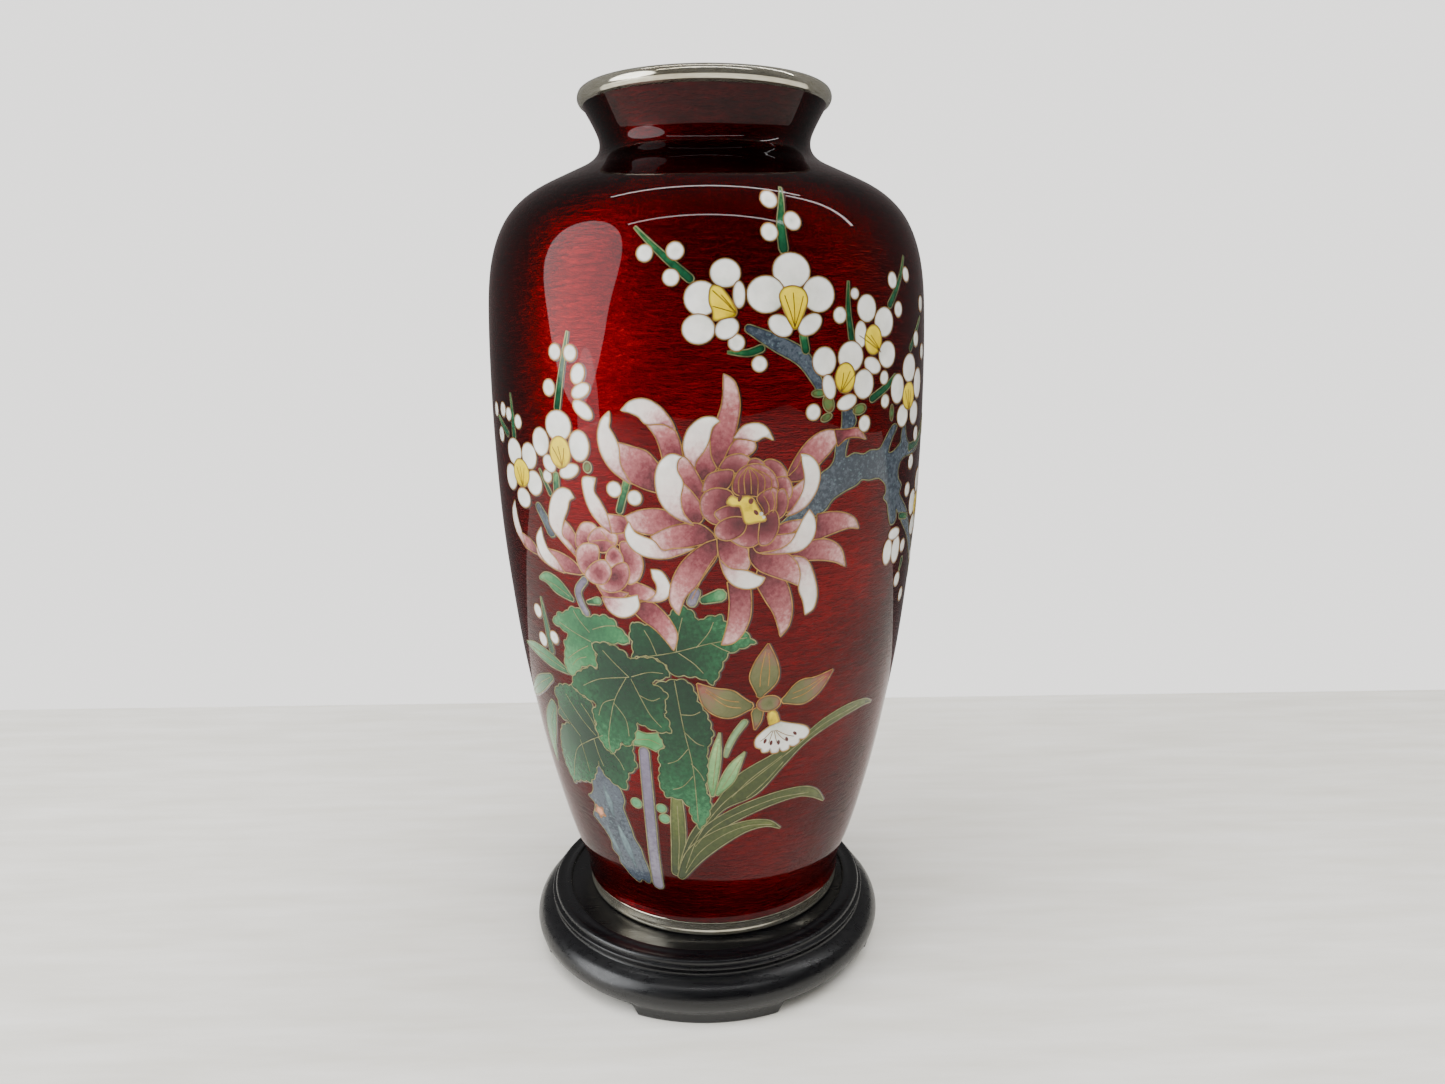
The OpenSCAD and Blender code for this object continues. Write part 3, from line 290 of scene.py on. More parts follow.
# Ellipses: middle, half width, half height, tilt.
PLUM_PETALS = [
    (-1.2, 182.8, 4, 3.9), (-1.9, 175.8, 3.8, 3.4), (4, 188.5, 3.5, 3.2), (6.9, 183.6, 1.4, 3),
    (4.2, 175.9, 2.9, 2.3, 30), (18.8, 189, 4.7, 4.1), (12.8, 183.6, 4.6, 4.2), (25.2, 183.6, 4.4, 4.1),
    (16, 176.4, 3.2, 2.3, -30), (23, 176.6, 3.4, 2.2, 30), (39, 180.3, 3.3, 3.3),
    (45.2, 176.9, 3.9, 3.6), (37, 174, 2, 3.2), (46.5, 168.8, 3.6, 3.3), (41, 166.3, 3.2, 1.9, -20),
    (34, 168.7, 4, 3.7), (26.6, 167.8, 3.3, 3.4), (27.9, 161.6, 1.8, 3, 15), (38.1, 161.8, 3.5, 3.6),
    (33, 157.6, 3.1, 1.8, 15), (58, 164.8, 4.3, 3.7), (51.5, 159.8, 3.4, 3.8), (64.6, 160.4, 3.5, 4),
    (54.6, 152.5, 3.2, 2.9), (62.3, 152.6, 3.4, 3.1), (72, 132.4, 4, 3.5), (66.2, 127, 3.4, 3.6),
    (77.8, 127, 3.4, 3.6), (69, 120, 3.4, 3), (75.6, 120, 3.4, 3), (51.2, 115.8, 2.3, 3.5),
    (55.8, 115.6, 2.5, 3.8), (54, 120.4, 3.2, 1.6), (-36.7, 152.3, 4.3, 3.8), (-42.9, 147.8, 3.2, 3.6),
    (-30.7, 147.6, 3, 3.8), (-40.2, 142.4, 2.5, 2, -40), (-34, 141, 3.3, 1.7, 20),
    (-55.2, 144, 4.1, 3.5), (-48, 143.6, 3.4, 3.4), (-58.2, 136.8, 3.5, 3.5), (-46.6, 136.6, 3.4, 3.2),
    (-52.1, 131.9, 3.5, 2.6), (-30.2, 165.3, 1.9, 2.5, -25), (-29.6, 161.2, 2.8, 1.6, 25),
    (-29.2, 156.6, 3.2, 1.7, -35),
]
# Round buds: middle, radius.
PLUM_BUDS = [
    (15.2, 205.5, 2), (20.1, 200.5, 2.1), (14.2, 197.8, 2), (-13.6, 193.2, 1.9),
    (-6.8, 193.6, 2), (-7.7, 187.6, 1.9), (6.2, 172.6, 1.9), (11.2, 167.6, 1.8),
    (35.2, 183.8, 1.3), (30.8, 178.7, 1.9), (49.1, 187.2, 2), (56.2, 188.8, 1.8),
    (51.4, 180, 1.9), (45.4, 163, 1.7), (46, 157, 1.7), (67.2, 181.5, 2), (62.4, 172.3, 2),
    (69, 168.7, 2), (64.8, 146.6, 2), (61.8, 139.2, 2), (60.4, 131.6, 1.9), (60.6, 115.7, 1.8),
    (59.3, 106.1, 2), (64.8, 100.2, 1.9), (72.4, 110.5, 1.9), (79, 147, 2), (82.4, 139, 1.9),
    (86, 121, 2), (-36.7, 170.5, 1.9), (-32.2, 170.3, 1.9), (-39, 161.7, 2), (-66.9, 154.3, 1.9),
    (-60.8, 154.7, 1.9), (-57, 153.8, 1.7), (-52.1, 152.2, 1.8), (-63.2, 147.8, 2),
    (-41.2, 139, 1.6), (-21.9, 137.3, 1.9), (-17, 135.4, 1.8), (-52.1, 100, 1.9),
    (-45.7, 93.7, 1.8), (-51.6, 91.7, 2), (23.9, 155.7, 1.9), (38.6, 151.9, 2),
]
# Ellipses.
PLUM_SEPALS = [
    (27.8, 157.6, 1.5, 2.1, 20), (25.2, 160.2, 1.9, 0.8), (27.3, 154.2, 1.6, 0.8, 20),
    (36.9, 155.6, 2.2, 1.2, 10), (-28.6, 142.4, 1.1, 1.3), (49, 153.8, 0.8, 2),
]
# Bands: points along the middle line, each with the half width there.
PLUM_TWIGS = [
    [(17.2, 194, 1.1), (17.2, 200, 0.9), (19.2, 208.5, 0.2)],
    [(-3.6, 187.3, 0.9), (-9.4, 192.6, 0.7), (-16.2, 199.2, 0.2)],
    [(11.6, 171.2, 0.8), (8.6, 170.2, 0.7), (4.3, 170.4, 0.2)],
    [(34.1, 173.2, 0.8), (33.2, 180, 0.6), (33.4, 186.7, 0.2)],
    [(41, 158, 0.9), (47, 161, 0.8), (50, 163.4, 0.3)],
    [(47.6, 181.2, 0.9), (51.8, 186.5, 0.6), (56, 193.4, 0.2)],
    [(21.9, 170.6, 0.9), (21.3, 174, 0.9)],
    [(-36.6, 156.8, 0.9), (-35, 165, 0.7), (-32.8, 175.4, 0.2)],
    [(-38.4, 134.6, 0.9), (-38.2, 139.4, 0.9)],
    [(-40.6, 134.6, 0.6), (-44, 140.6, 0.2)],
    [(-20.8, 132, 0.8), (-18.6, 139.6, 0.8)],
    [(-54.6, 148.2, 0.9), (-54.8, 153.6, 0.7), (-55.4, 159.4, 0.2)],
    [(-58.6, 148.6, 0.9), (-64.4, 152.4, 0.5)],
    [(-47.9, 89.4, 1.1), (-48.6, 97, 0.9), (-49.4, 104.6, 0.2)],
    [(58.4, 170, 0.8), (66, 177.8, 0.3)],
    [(60, 143.4, 1), (68, 144.6, 0.7), (76, 150, 0.2)],
    [(56.6, 125, 0.8), (61, 124, 0.7)],
    [(61.4, 111.4, 0.8), (60.4, 108.9, 0.4)],
]
PLUM_BRANCHES = [
    [(8.9, 175.8, 0.9), (15, 172.4, 1.8), (21, 168.8, 1.9), (24.6, 163.4, 1.3), (25.4, 161.6, 1.1)],
    [(-45.6, 130.4, 1.1), (-43, 127, 1.4), (-41.4, 124.6, 1.7)],
]
# Outlines: a third number marks a sharp corner.
MAIN_BRANCH = [
    (15.6, 127.4), (18, 128.4), (22, 129), (27.2, 130.6), (29.6, 133.4), (33, 135.2), (36.6, 136.4),
    (38.4, 137.6), (41, 137.2), (44.6, 137.2), (47.6, 135), (48, 132.6), (47.2, 131.4), (49, 129.8),
    (50, 126.6), (51.6, 123.4), (54.2, 124.4), (53.8, 127.4), (56, 125.4), (59, 122), (63, 118.6),
    (68, 112.6), (74, 106.4), (84, 98), (84.6, 98.8), (78, 105.6), (70, 114.4), (66, 118.4), (63, 123),
    (60.4, 126.4), (57, 129.4), (55, 131.6), (56, 133.6), (54, 135.6), (53.6, 138.6), (56, 141.2),
    (62, 141.6), (68, 143.2), (76, 149.8), (75.4, 150.4), (67.6, 145.6), (60.4, 144.4), (57.4, 146.6),
    (56, 150.4), (54.4, 148), (54, 145.4), (50.4, 143.4), (48.2, 143.6), (49.6, 147), (51.8, 150),
    (49.6, 150.4), (46.8, 147.4), (44.4, 144.8), (41, 144.8), (38.6, 144), (35.6, 144.6), (33, 143.8),
    (33.2, 147), (34.6, 150.6), (35.8, 153), (34, 156.6), (31.8, 156), (31.6, 151.6), (30.2, 148),
    (29.8, 144), (28.6, 141.8), (26, 140), (24.8, 136), (21.6, 132.6), (18, 130),
]
TRUNK = [
    (-36.2, 57.4), (-34.8, 54.6), (-32, 52.4), (-29.4, 50.8), (-28.4, 47), (-29.4, 44.4), (-28.8, 41),
    (-27.8, 37), (-27.4, 34), (-25.6, 30.6), (-25.2, 27.6), (-24.2, 24), (-24, 20), (-25.4, 17.4),
    (-28, 18.4), (-30, 16.8), (-33, 18.6), (-34.6, 20.6), (-36.6, 22.8), (-36.4, 25), (-38.6, 27),
    (-38.2, 30), (-40, 33.4), (-42.6, 36), (-44.2, 37.4), (-42.6, 40), (-41.8, 42.6), (-44.2, 44.2),
    (-42.4, 45.4), (-40.8, 47.4), (-40.2, 51), (-38.4, 54),
]
# Each petal is its root, then its outline.
LARGE_BACK = [
    ((-7, 146), [(-13.6, 153.6, 1), (-9.6, 153.5), (-7.6, 152.6), (-6.2, 149), (-5.8, 145.6, 1),
         (-10, 143.6, 1), (-10.4, 146.6), (-11.6, 150.6)]),
    ((2.4, 142.6), [(2.6, 142.2, 1), (0.6, 145.4), (0.3, 150), (1.8, 154.4), (3.1, 159), (3.4, 165.4, 1),
         (5.8, 163.4), (6.8, 158.6), (6.3, 154), (5.2, 149), (3.6, 144.4)]),
    ((4, 145), [(3.2, 144.4, 1), (5, 148.6), (7, 150.2), (9.6, 149.6), (10.2, 147.6), (8, 145.6)]),
    ((-1, 141), [(-2.4, 140, 1), (-3.2, 143.6), (-1.6, 147.4), (0.2, 149.8, 1), (0.4, 146), (1.6, 143, 1),
         (0, 140.6)]),
    ((-11.6, 139), [(-20.3, 148.9, 1), (-17, 148), (-13.6, 146.8), (-10.8, 143.4, 1), (-11.8, 137, 1),
         (-15, 138), (-19.2, 140.4), (-20.2, 144)]),
    ((-19.4, 128), [(-24.2, 130.8, 1), (-19.6, 130.4), (-18.4, 128.4), (-20.4, 126.4), (-23.6, 126.2, 1)]),
    ((18, 139), [(17, 139, 1), (19.2, 144), (22.2, 148.2), (25.6, 150.6), (29, 151), (31.4, 149.6, 1),
         (29, 146.2), (25.6, 142.8), (22, 139.4)]),
    ((30, 148.6), [(29.6, 151, 1), (33, 150.8), (36.6, 150.8), (39.3, 147.9, 1), (36, 148.8), (33, 148.6),
         (30.6, 146.9, 1)]),
    ((18, 132), [(17, 131.4, 1), (18, 136), (20.4, 138.2), (22, 139.4, 1), (21.6, 135.6), (19.6, 132)]),
    ((15.4, 126.6), [(15, 127.6, 1), (18, 128.8), (21.6, 129, 1), (20.2, 126.6), (17, 125.2),
         (14, 125, 1)]),
    ((24, 126), [(24.2, 122.8, 1), (25.4, 127), (25.6, 130, 1), (29.4, 130.2), (33.4, 129.4),
         (36.6, 127.6), (38.2, 124.8, 1), (35, 125.4), (31, 124.8), (27, 123.8)]),
    ((17, 119.6), [(17, 120.2, 1), (22, 122.6), (26, 123.4), (29.8, 122.6), (33, 119.8), (34.6, 115, 1),
         (31.4, 116.8), (27, 118), (22, 118.4), (18, 118.6, 1)]),
    ((-4.6, 130), [(-19.4, 130.6, 1), (-16, 132.2), (-12, 132.8), (-8, 131.8), (-3.4, 129.6, 1),
         (-7.4, 128.2), (-11, 126.6), (-14.6, 126.4), (-17.8, 127.6)]),
]
LARGE_FRONT = [
    ((-3.4, 136.6), [(-7, 145.4, 1), (-7.2, 142), (-5.4, 138.4), (-1.8, 134.6, 1), (-1.2, 138),
         (-2.8, 142), (-4.6, 145), (-5.8, 145.8)]),
    ((-3.4, 130), [(-5.9, 139.4, 1), (-6.5, 135), (-5.8, 131.4), (-3, 129, 1), (-1.6, 130.4),
         (-1.8, 133.6), (-3.6, 136.8)]),
    ((0.6, 126), [(-13.4, 125.8, 1), (-10.6, 127.5), (-7, 128.9), (-2.6, 129.2), (0.4, 127),
         (1.4, 125, 1), (-3, 123.8), (-7, 122.9), (-10.4, 122.2), (-12.4, 123.6)]),
    ((1, 124.6), [(1.6, 125.2, 1), (1.5, 121), (-0.6, 117.4), (-3.4, 113), (-6, 110), (-7.6, 105.4, 1),
         (-9.5, 108.6), (-9.3, 112.6), (-7.8, 117), (-5.2, 120.8), (-1.4, 124)]),
    ((2.4, 125.2), [(1.7, 125.4, 1), (5, 124.8), (8.2, 123), (9.2, 119.4), (8.6, 117.2, 1), (5.4, 117.4),
         (3, 118.8), (2, 121.6)]),
    ((5, 115), [(4, 114, 1), (4.5, 109), (4.2, 104), (3.4, 100), (2.6, 97.2, 1), (5.2, 97.5), (7.6, 99.8),
         (9.3, 104), (9.6, 108.6), (9.2, 113.4, 1)]),
    ((11.4, 117), [(10.4, 113.8, 1), (12.9, 109), (15.2, 105), (16.6, 101), (17.2, 98.4, 1), (19.2, 101),
         (19.9, 105), (19.3, 109.6), (17.6, 114), (14.4, 117.6), (11.4, 118.2, 1)]),
    ((9, 122), [(9, 123, 1), (12.8, 122.8), (16.4, 121.4), (19.4, 119.6), (21.6, 116.4), (21.8, 111.6, 1),
         (18.4, 113.4), (14.4, 115.2), (11.2, 117), (9.2, 119.8)]),
    ((10.6, 123), [(9.8, 123.4, 1), (12.6, 125.8), (16.4, 125.6), (20.4, 125.8, 1), (18.6, 122.8),
         (14.4, 121.2), (11, 121.6)]),
]
LARGE_CURLS = [
    ((-9, 153), [(-19.4, 156.8, 1), (-17.2, 159), (-14, 159.6), (-10.8, 158), (-8.4, 155),
         (-7.2, 152.2, 1), (-10, 153.7), (-13.6, 153.6), (-15.4, 155.4), (-17.4, 156.3)]),
    ((-3.4, 142), [(-3.4, 141, 1), (-5, 145), (-5.5, 149), (-4.2, 152.7), (-1.6, 155), (1, 155.3),
         (2.4, 154.3, 1), (0.8, 152.8), (0, 149.6), (-1.2, 147), (-2.8, 144.6)]),
    ((7, 150), [(5.4, 150.2, 1), (7.6, 153), (10.6, 153.6), (12.8, 152.4), (14.3, 149.4, 1),
         (12.4, 150.3), (10.4, 149.4), (8.4, 149.8)]),
    ((-5, 129), [(-5.9, 145.8, 1), (-8.4, 146.4), (-10.8, 144.4), (-11.9, 141), (-11.6, 136.6),
         (-10, 133), (-7.2, 130.6), (-3.6, 128.9, 1), (-5.8, 131.8), (-6.4, 135.6), (-5.8, 139.4),
         (-7, 142.4), (-6.8, 144.8)]),
    ((-18.4, 139.8), [(-22.3, 156.4, 1), (-24.3, 154.4), (-25.4, 150.6), (-24.8, 146.4), (-22.8, 142.8),
         (-20.4, 140.6), (-17.6, 138.8, 1), (-20, 143.4), (-20.3, 147.6), (-21.4, 150.6), (-22.5, 152.6),
         (-22.3, 154.4)]),
    ((-23.6, 127), [(-26.6, 139.8, 1), (-30, 139.6), (-29.8, 135), (-28.4, 131.2), (-26, 128.2),
         (-23.2, 126, 1), (-24, 130.4), (-25.6, 133.8), (-27.2, 136.6)]),
    ((19, 131), [(21, 145.6, 1), (23.2, 145), (25.2, 142.8), (25.9, 139.6), (25, 136), (22.8, 132.8),
         (20, 131), (17.6, 130.4, 1), (20, 133.2), (21.7, 136.6), (22, 140), (21.4, 143)]),
    ((14, 121.4), [(23.4, 131.4, 1), (24.9, 129), (25.2, 126), (24, 123), (21.4, 121.1), (17, 120.8),
         (11.6, 121.2, 1), (16, 121.8), (18.8, 123.4), (20.4, 126), (21.8, 129)]),
    ((20, 120), [(19.4, 119.8, 1), (23, 118.6), (25.2, 114.4), (26.5, 109), (25.8, 105), (23.6, 103.6, 1),
         (22.8, 107.4), (21.5, 110.8), (21.8, 114.6), (21, 117.6)]),
    ((3, 119), [(2.2, 120, 1), (4.6, 117.6), (8.4, 116.8), (11, 115.5), (12.8, 114.7, 1), (11.4, 112.7),
         (8.4, 112.1), (5.4, 113.3), (3.4, 116)]),
    ((-8, 122.2), [(-18.6, 129.2, 1), (-19.7, 126.2), (-18.6, 123), (-15.6, 120.8), (-11, 120.2),
         (-7.4, 121.2), (-3.4, 123, 1), (-8, 122.8), (-10.8, 122.3), (-12.8, 124.6), (-15.2, 125.6),
         (-17.4, 126.8)]),
]
# Petals of the flower's closed ball. Each root lies on the side nearest the ball's middle.
LARGE_BALL = [
    ((5, 141), [(2.2, 143, 1), (4, 145.6), (7.2, 146.2), (9.4, 144.4), (8.6, 142.6), (5.6, 141.8)]),
    ((13, 141), [(12, 143.6), (13.6, 144.7), (16.2, 143.4), (17.6, 140.4), (15.8, 139.4), (13.4, 141)]),
    ((9.6, 143), [(8.6, 143.4), (9.6, 145), (11.6, 144.4), (12.4, 142.6), (10.6, 141.6)]),
    ((4, 138), [(-1.5, 137.4, 1), (-0.4, 141), (2.4, 142.3), (5.2, 142.2), (5, 139.8), (3.6, 137.8),
         (0.6, 137.4)]),
    ((15, 137), [(14.6, 139.8), (17.6, 140), (18.9, 137.2), (18.2, 134.8), (16, 135.6), (14.6, 138)]),
    ((9, 137), [(5.2, 138.2), (6.2, 141.6), (8.6, 143.5), (11.8, 143.4), (14.6, 141), (15.4, 137.4),
         (13.4, 135.8), (9, 136), (6.2, 136.4)]),
    ((12, 133), [(10.8, 135.6), (14.6, 137.6), (16, 134.4), (15.4, 131), (12.8, 129.6), (12.2, 132.4)]),
    ((14.6, 133), [(14.9, 129.8), (17, 130.8), (17.9, 134), (17, 137), (15.5, 136.4), (15.4, 133)]),
    ((4.6, 133.6), [(-1.9, 134.8), (-1.5, 131.6), (0.6, 129.4), (3, 129.2), (4.4, 131.6), (5.4, 134.8),
         (4.6, 137.2), (1.6, 138), (-0.8, 137)]),
    ((6.6, 132.4), [(1.2, 131.6), (3, 129.6), (6, 129.4), (7.4, 131.6), (6.8, 133.4), (4.6, 133.6),
         (2.6, 133)]),
    ((10.4, 129), [(4.6, 125.4), (8, 123.1), (11, 123.8), (12, 127), (11.4, 129.8), (9.2, 129.6),
         (7.4, 127.8)]),
    ((12.6, 129), [(11.4, 123.7), (13.9, 123.8), (15.6, 126.8), (15.7, 130), (14.6, 132), (12.2, 130.2),
         (11.4, 128.4)]),
    ((6.6, 129), [(1.2, 127.6), (2, 125.6), (4.4, 125), (7.2, 126.4), (8.2, 128.6), (7.6, 130.4),
         (5, 130.7), (2.4, 129.6)]),
]
SMALL_PETALS = [
    ((-33, 120), [(-36.2, 127.8, 1), (-34.4, 126), (-32.8, 123), (-32.4, 119, 1), (-35, 121.2),
         (-37.8, 123.6), (-37.2, 126)]),
    ((-32, 115), [(-33, 114, 1), (-37, 113.9), (-42, 114.4), (-47.6, 116.6), (-48.8, 118.8, 1),
         (-45, 119.2), (-41, 119.2), (-37.6, 118.6), (-34.6, 117.2), (-31.6, 114.4, 1)]),
    ((-48, 118), [(-48.2, 117, 1), (-51, 117.4), (-55, 118.6), (-55.6, 121.4), (-51, 120.8),
         (-48.6, 119.2, 1)]),
    ((-21, 112), [(-21, 114, 1), (-17, 113.3), (-13.4, 111.6), (-13, 109.4), (-16, 108.8), (-20, 110.2),
         (-22.6, 111.4, 1)]),
    ((-24, 110), [(-28.4, 112, 1), (-24, 110.9), (-19.8, 110.4, 1), (-22, 108.8), (-26.2, 108.2, 1)]),
    ((-17.6, 107), [(-17, 108.2, 1), (-14, 108.4), (-11, 105.6), (-8.8, 102), (-8.2, 99), (-9.2, 95.5, 1),
         (-11, 98.2), (-13.6, 101.2), (-16.6, 103.4), (-18.8, 105.6, 1)]),
]
SMALL_CURLS = [
    ((-33, 118), [(-33, 134.3, 1), (-34.4, 136.1), (-37, 136.3), (-39.8, 134.2), (-41.5, 130),
         (-41.5, 126), (-38, 122.4), (-34.2, 119.2), (-31.8, 117, 1), (-35, 121.6), (-37.6, 124),
         (-36.9, 127.6), (-35.3, 131), (-34.5, 133.4)]),
    ((-38.4, 114), [(-45.3, 125, 1), (-47.8, 121.6), (-47, 117.6), (-43.6, 114.8), (-38, 113.6, 1),
         (-40.6, 116.8), (-43.4, 119.2), (-44.8, 122)]),
    ((-53.4, 118), [(-57.5, 130.4, 1), (-60, 126.6), (-58.6, 121.6), (-53.4, 117.6, 1), (-55.2, 122),
         (-56.8, 126)]),
    ((-15, 108.6), [(-13.8, 117.2, 1), (-11.3, 116.7), (-9.5, 113.4), (-9.9, 110.4), (-12, 108.9),
         (-15.4, 108.6, 1), (-13, 110.6), (-12.6, 113), (-13.4, 115)]),
    ((-26, 108), [(-17.5, 110.1, 1), (-17.3, 107), (-19.4, 104.5), (-22.4, 103.7), (-25.5, 105.2),
         (-27, 108.6, 1), (-24, 108.7), (-20.6, 109.1)]),
]
SMALL_BALL = [
    ((-30, 122), [(-33.2, 121.6), (-33, 124.8), (-31, 127.8), (-28, 128), (-26.8, 126), (-29.2, 124.4),
         (-30.4, 121.4)]),
    ((-21, 123.4), [(-23, 125), (-20, 126.4), (-17.6, 124.8), (-17.8, 123), (-21, 123)]),
    ((-26, 121.6), [(-29.6, 124), (-27.4, 126.7), (-24.6, 127.1), (-21.8, 125.4), (-22.8, 122.2),
         (-26, 120.8), (-28.4, 122)]),
    ((-21, 119), [(-21, 123.6), (-18, 123.4), (-16.2, 121), (-15.8, 117.6), (-17.2, 114.2),
         (-19.8, 113.2), (-20.6, 118)]),
    ((-23, 120), [(-25, 118), (-24.6, 120.8), (-22.8, 122.4), (-21, 120.8), (-20.8, 118.2), (-23, 117)]),
    ((-29, 117), [(-33.4, 120), (-31, 122.4), (-27.2, 122.2), (-27.4, 118.2), (-29.4, 115),
         (-31.6, 114.2), (-33.2, 116.6)]),
    ((-23, 114.6), [(-27.8, 111.8), (-25.6, 114.8), (-22.4, 117.8), (-19.8, 118.2), (-19.4, 114.6),
         (-21.6, 111.3), (-25, 110.3)]),
    ((-27.4, 115), [(-31.4, 114.2), (-28.6, 117.6), (-25.4, 118.6), (-24, 115.8), (-25.8, 112.6),
         (-29, 112.2)]),
]
# Outlines of leaves.
MUM_LEAVES_DARK = [
    [(-31.8, 94.7, 1), (-28.5, 95.7), (-25.6, 95.3), (-22.6, 94.1), (-20.6, 91.8, 1), (-18.5, 92.6),
     (-14.6, 92.8), (-11.4, 90.6), (-10.8, 88, 1), (-13.8, 86.9), (-15.8, 85.9, 1), (-12.6, 84),
     (-11.5, 82.4), (-12.4, 80), (-12, 77.6, 1), (-13, 77.2, 1), (-11.6, 74.7), (-11.2, 71.5, 1),
     (-14.4, 71.4), (-17.4, 72.4), (-20.4, 73.6, 1), (-21.2, 70.6), (-22.6, 67.1), (-25, 65.3, 1),
     (-25.9, 66.8, 1), (-27.9, 63.8), (-30.3, 62.1, 1), (-32.9, 64.7), (-34.4, 68.8, 1),
     (-33.8, 71.2, 1), (-34.6, 74.1), (-32.4, 76.9, 1), (-36.2, 78.2), (-39.7, 79.7), (-41, 80.7, 1),
     (-39.6, 83.8), (-36.8, 85.9), (-35, 86.7, 1), (-33.2, 88), (-30.3, 87.4, 1), (-30.8, 89.6),
     (-30.4, 92)],
    [(-9.8, 88.6, 1), (-12.4, 92.4), (-17.4, 93.6), (-20, 92.4, 1), (-19.6, 96), (-20.2, 99.4),
     (-19.2, 102.6, 1), (-15, 102), (-11.4, 101.8, 1), (-10, 105), (-7.4, 108, 1), (-4.8, 106.6),
     (-3, 103.6, 1), (-0.6, 104.8), (2.4, 105.2, 1), (3.8, 103), (7.2, 101.4), (10.8, 97.2, 1),
     (7, 95.8), (4, 94.6, 1), (2.6, 91.4), (1.6, 88.4), (0.4, 86, 1), (-2.4, 87.8), (-5.6, 88.4)],
    [(-8.8, 87.2, 1), (-6.2, 86.8), (-4.4, 84), (-3.6, 81, 1), (-1.2, 76.6), (0.2, 71, 1),
     (-1.6, 66, 1), (-1.4, 60), (-2.2, 54, 1), (-0.6, 49), (-1.8, 44), (-4, 40.4, 1), (-6.4, 44.4),
     (-7, 47.6, 1), (-9.4, 50.2), (-13.8, 50.8, 1), (-15.6, 55), (-14.8, 60.6, 1), (-15, 64.6),
     (-12.8, 67, 1), (-14.4, 71), (-14.4, 78), (-16, 84.6)],
    [(-34.4, 77, 1), (-38.6, 78.6), (-41.5, 80.4, 1), (-46.8, 79.2), (-50.4, 76.4, 1),
     (-49.2, 72.4), (-50.4, 68.8), (-44.8, 67.8, 1), (-49.7, 65.6), (-52.4, 61.8, 1), (-53.8, 57),
     (-53.6, 51), (-50.9, 46.5, 1), (-46.8, 48.6), (-41.5, 49.7, 1), (-38.6, 52.6), (-35.9, 58.2, 1),
     (-34.4, 54.6), (-30.6, 51.8), (-26.8, 50.9, 1), (-26.4, 54), (-25, 56.9, 1), (-22.4, 59.2),
     (-22.9, 62.4), (-22.8, 65.9, 1), (-27, 65), (-30.4, 62), (-33.6, 65.4), (-34.6, 70, 1),
     (-34.6, 74)],
]
MUM_LEAVES_PALE_SHAPES = [
    [(-45.4, 98.4, 1), (-42.6, 101.4), (-40, 102, 1), (-37, 104.2), (-34.4, 104, 1), (-32.4, 102, 1),
     (-30, 103), (-27, 103.5, 1), (-24.6, 102.6), (-23.4, 100.6, 1), (-21.4, 99), (-20.6, 96.6, 1),
     (-26, 96), (-31.8, 95.2, 1), (-30.8, 91), (-30.6, 88.4, 1), (-34, 88.2), (-37, 86.6),
     (-40, 83.4, 1), (-42.2, 85.3), (-42.4, 88.4, 1), (-41.6, 91), (-41.4, 93.7, 1), (-39.4, 95.6),
     (-41.6, 97.2)],
    [(-22.2, 66.2, 1), (-22, 69), (-20.6, 71, 1), (-18, 70.4), (-14.4, 71, 1), (-13.2, 67.4),
     (-15.8, 65.2, 1), (-19, 66.4)],
]
# Bands again.
MUM_LEAVES_PALE = [
    [(-42, 84.4, 0.6), (-49, 86.2, 2.1), (-57, 87.4, 1.8), (-65, 87, 0.2)],
    [(-50.8, 80.4, 1), (-58, 76.6, 2.2), (-66, 72, 1.8), (-74, 68, 0.2)],
    [(-53, 71, 1.6), (-57.4, 64.6, 3), (-60.6, 58, 2.6), (-61.4, 50.4, 0.4)],
    [(-36.6, 106.6, 0.6), (-41, 109.2, 2.1), (-45, 111, 1.6), (-48.6, 110.3, 0.2)],
    [(-31.4, 106.6, 0.4), (-28.4, 107.4, 1)],
    [(-1.6, 109.4, 0.9), (2.2, 110.6, 1.6)],
]
MUM_STEMS = [
    [(-19.4, 64.6, 1.4), (-19.8, 50, 1.5), (-20.2, 40, 1.5), (-20.8, 30, 1.5), (-21.4, 17.6, 1.6)],
    [(-31.8, 112.6, 0.9), (-34.2, 109.4, 1), (-33.6, 106, 1), (-32.2, 103.4, 0.9)],
    [(-3.4, 111.4, 1.1), (-4.4, 108.8, 1.2)],
]
# Round buds.
MUM_STEM_BUDS = [(-24.1, 47.1, 1.6), (-15.9, 46.6, 1.4), (-15.2, 43.2, 1.5)]
# Bands, apart from the skirt.
ORCHID_LIP = [(16.2, 75.8, 1.3), (16.8, 73.6, 1.4)]
# The orchid's white lip, with a scalloped hem.
ORCHID_SKIRT = [
    (15.6, 72.4, 1), (13.4, 70.8), (11.8, 68.8), (12, 66.6), (13.6, 65.8, 1), (14, 64.6), (15.6, 64.6),
    (16.2, 65.4, 1), (16.8, 64), (18.6, 64), (19, 65.2, 1), (20, 64), (21.8, 64.4), (22, 65.6, 1),
    (23.4, 65), (25, 65.8), (25, 67, 1), (26.8, 66.8), (28, 68.4), (27, 70.2), (24.2, 71.6), (20.4, 72.8),
    (18.8, 73.4, 1),
]
ORCHID_SEPALS = [
    [(12.6, 82.4, 1), (13.4, 86.6, 3.8), (13.8, 91.4, 3), (14.2, 96.6, 0.1)],
    [(9.6, 79.2, 1.2), (5, 79.8, 3.9), (0.4, 81.8, 3.4), (-3.6, 86.2, 0.1)],
    [(19.6, 79.8, 1), (24, 81.2, 3.5), (28.6, 82.6, 2.6), (33.6, 86, 0.1)],
    [(12, 77, 1.5), (12, 74.6, 1.1), (11.5, 72, 0.1)],
]
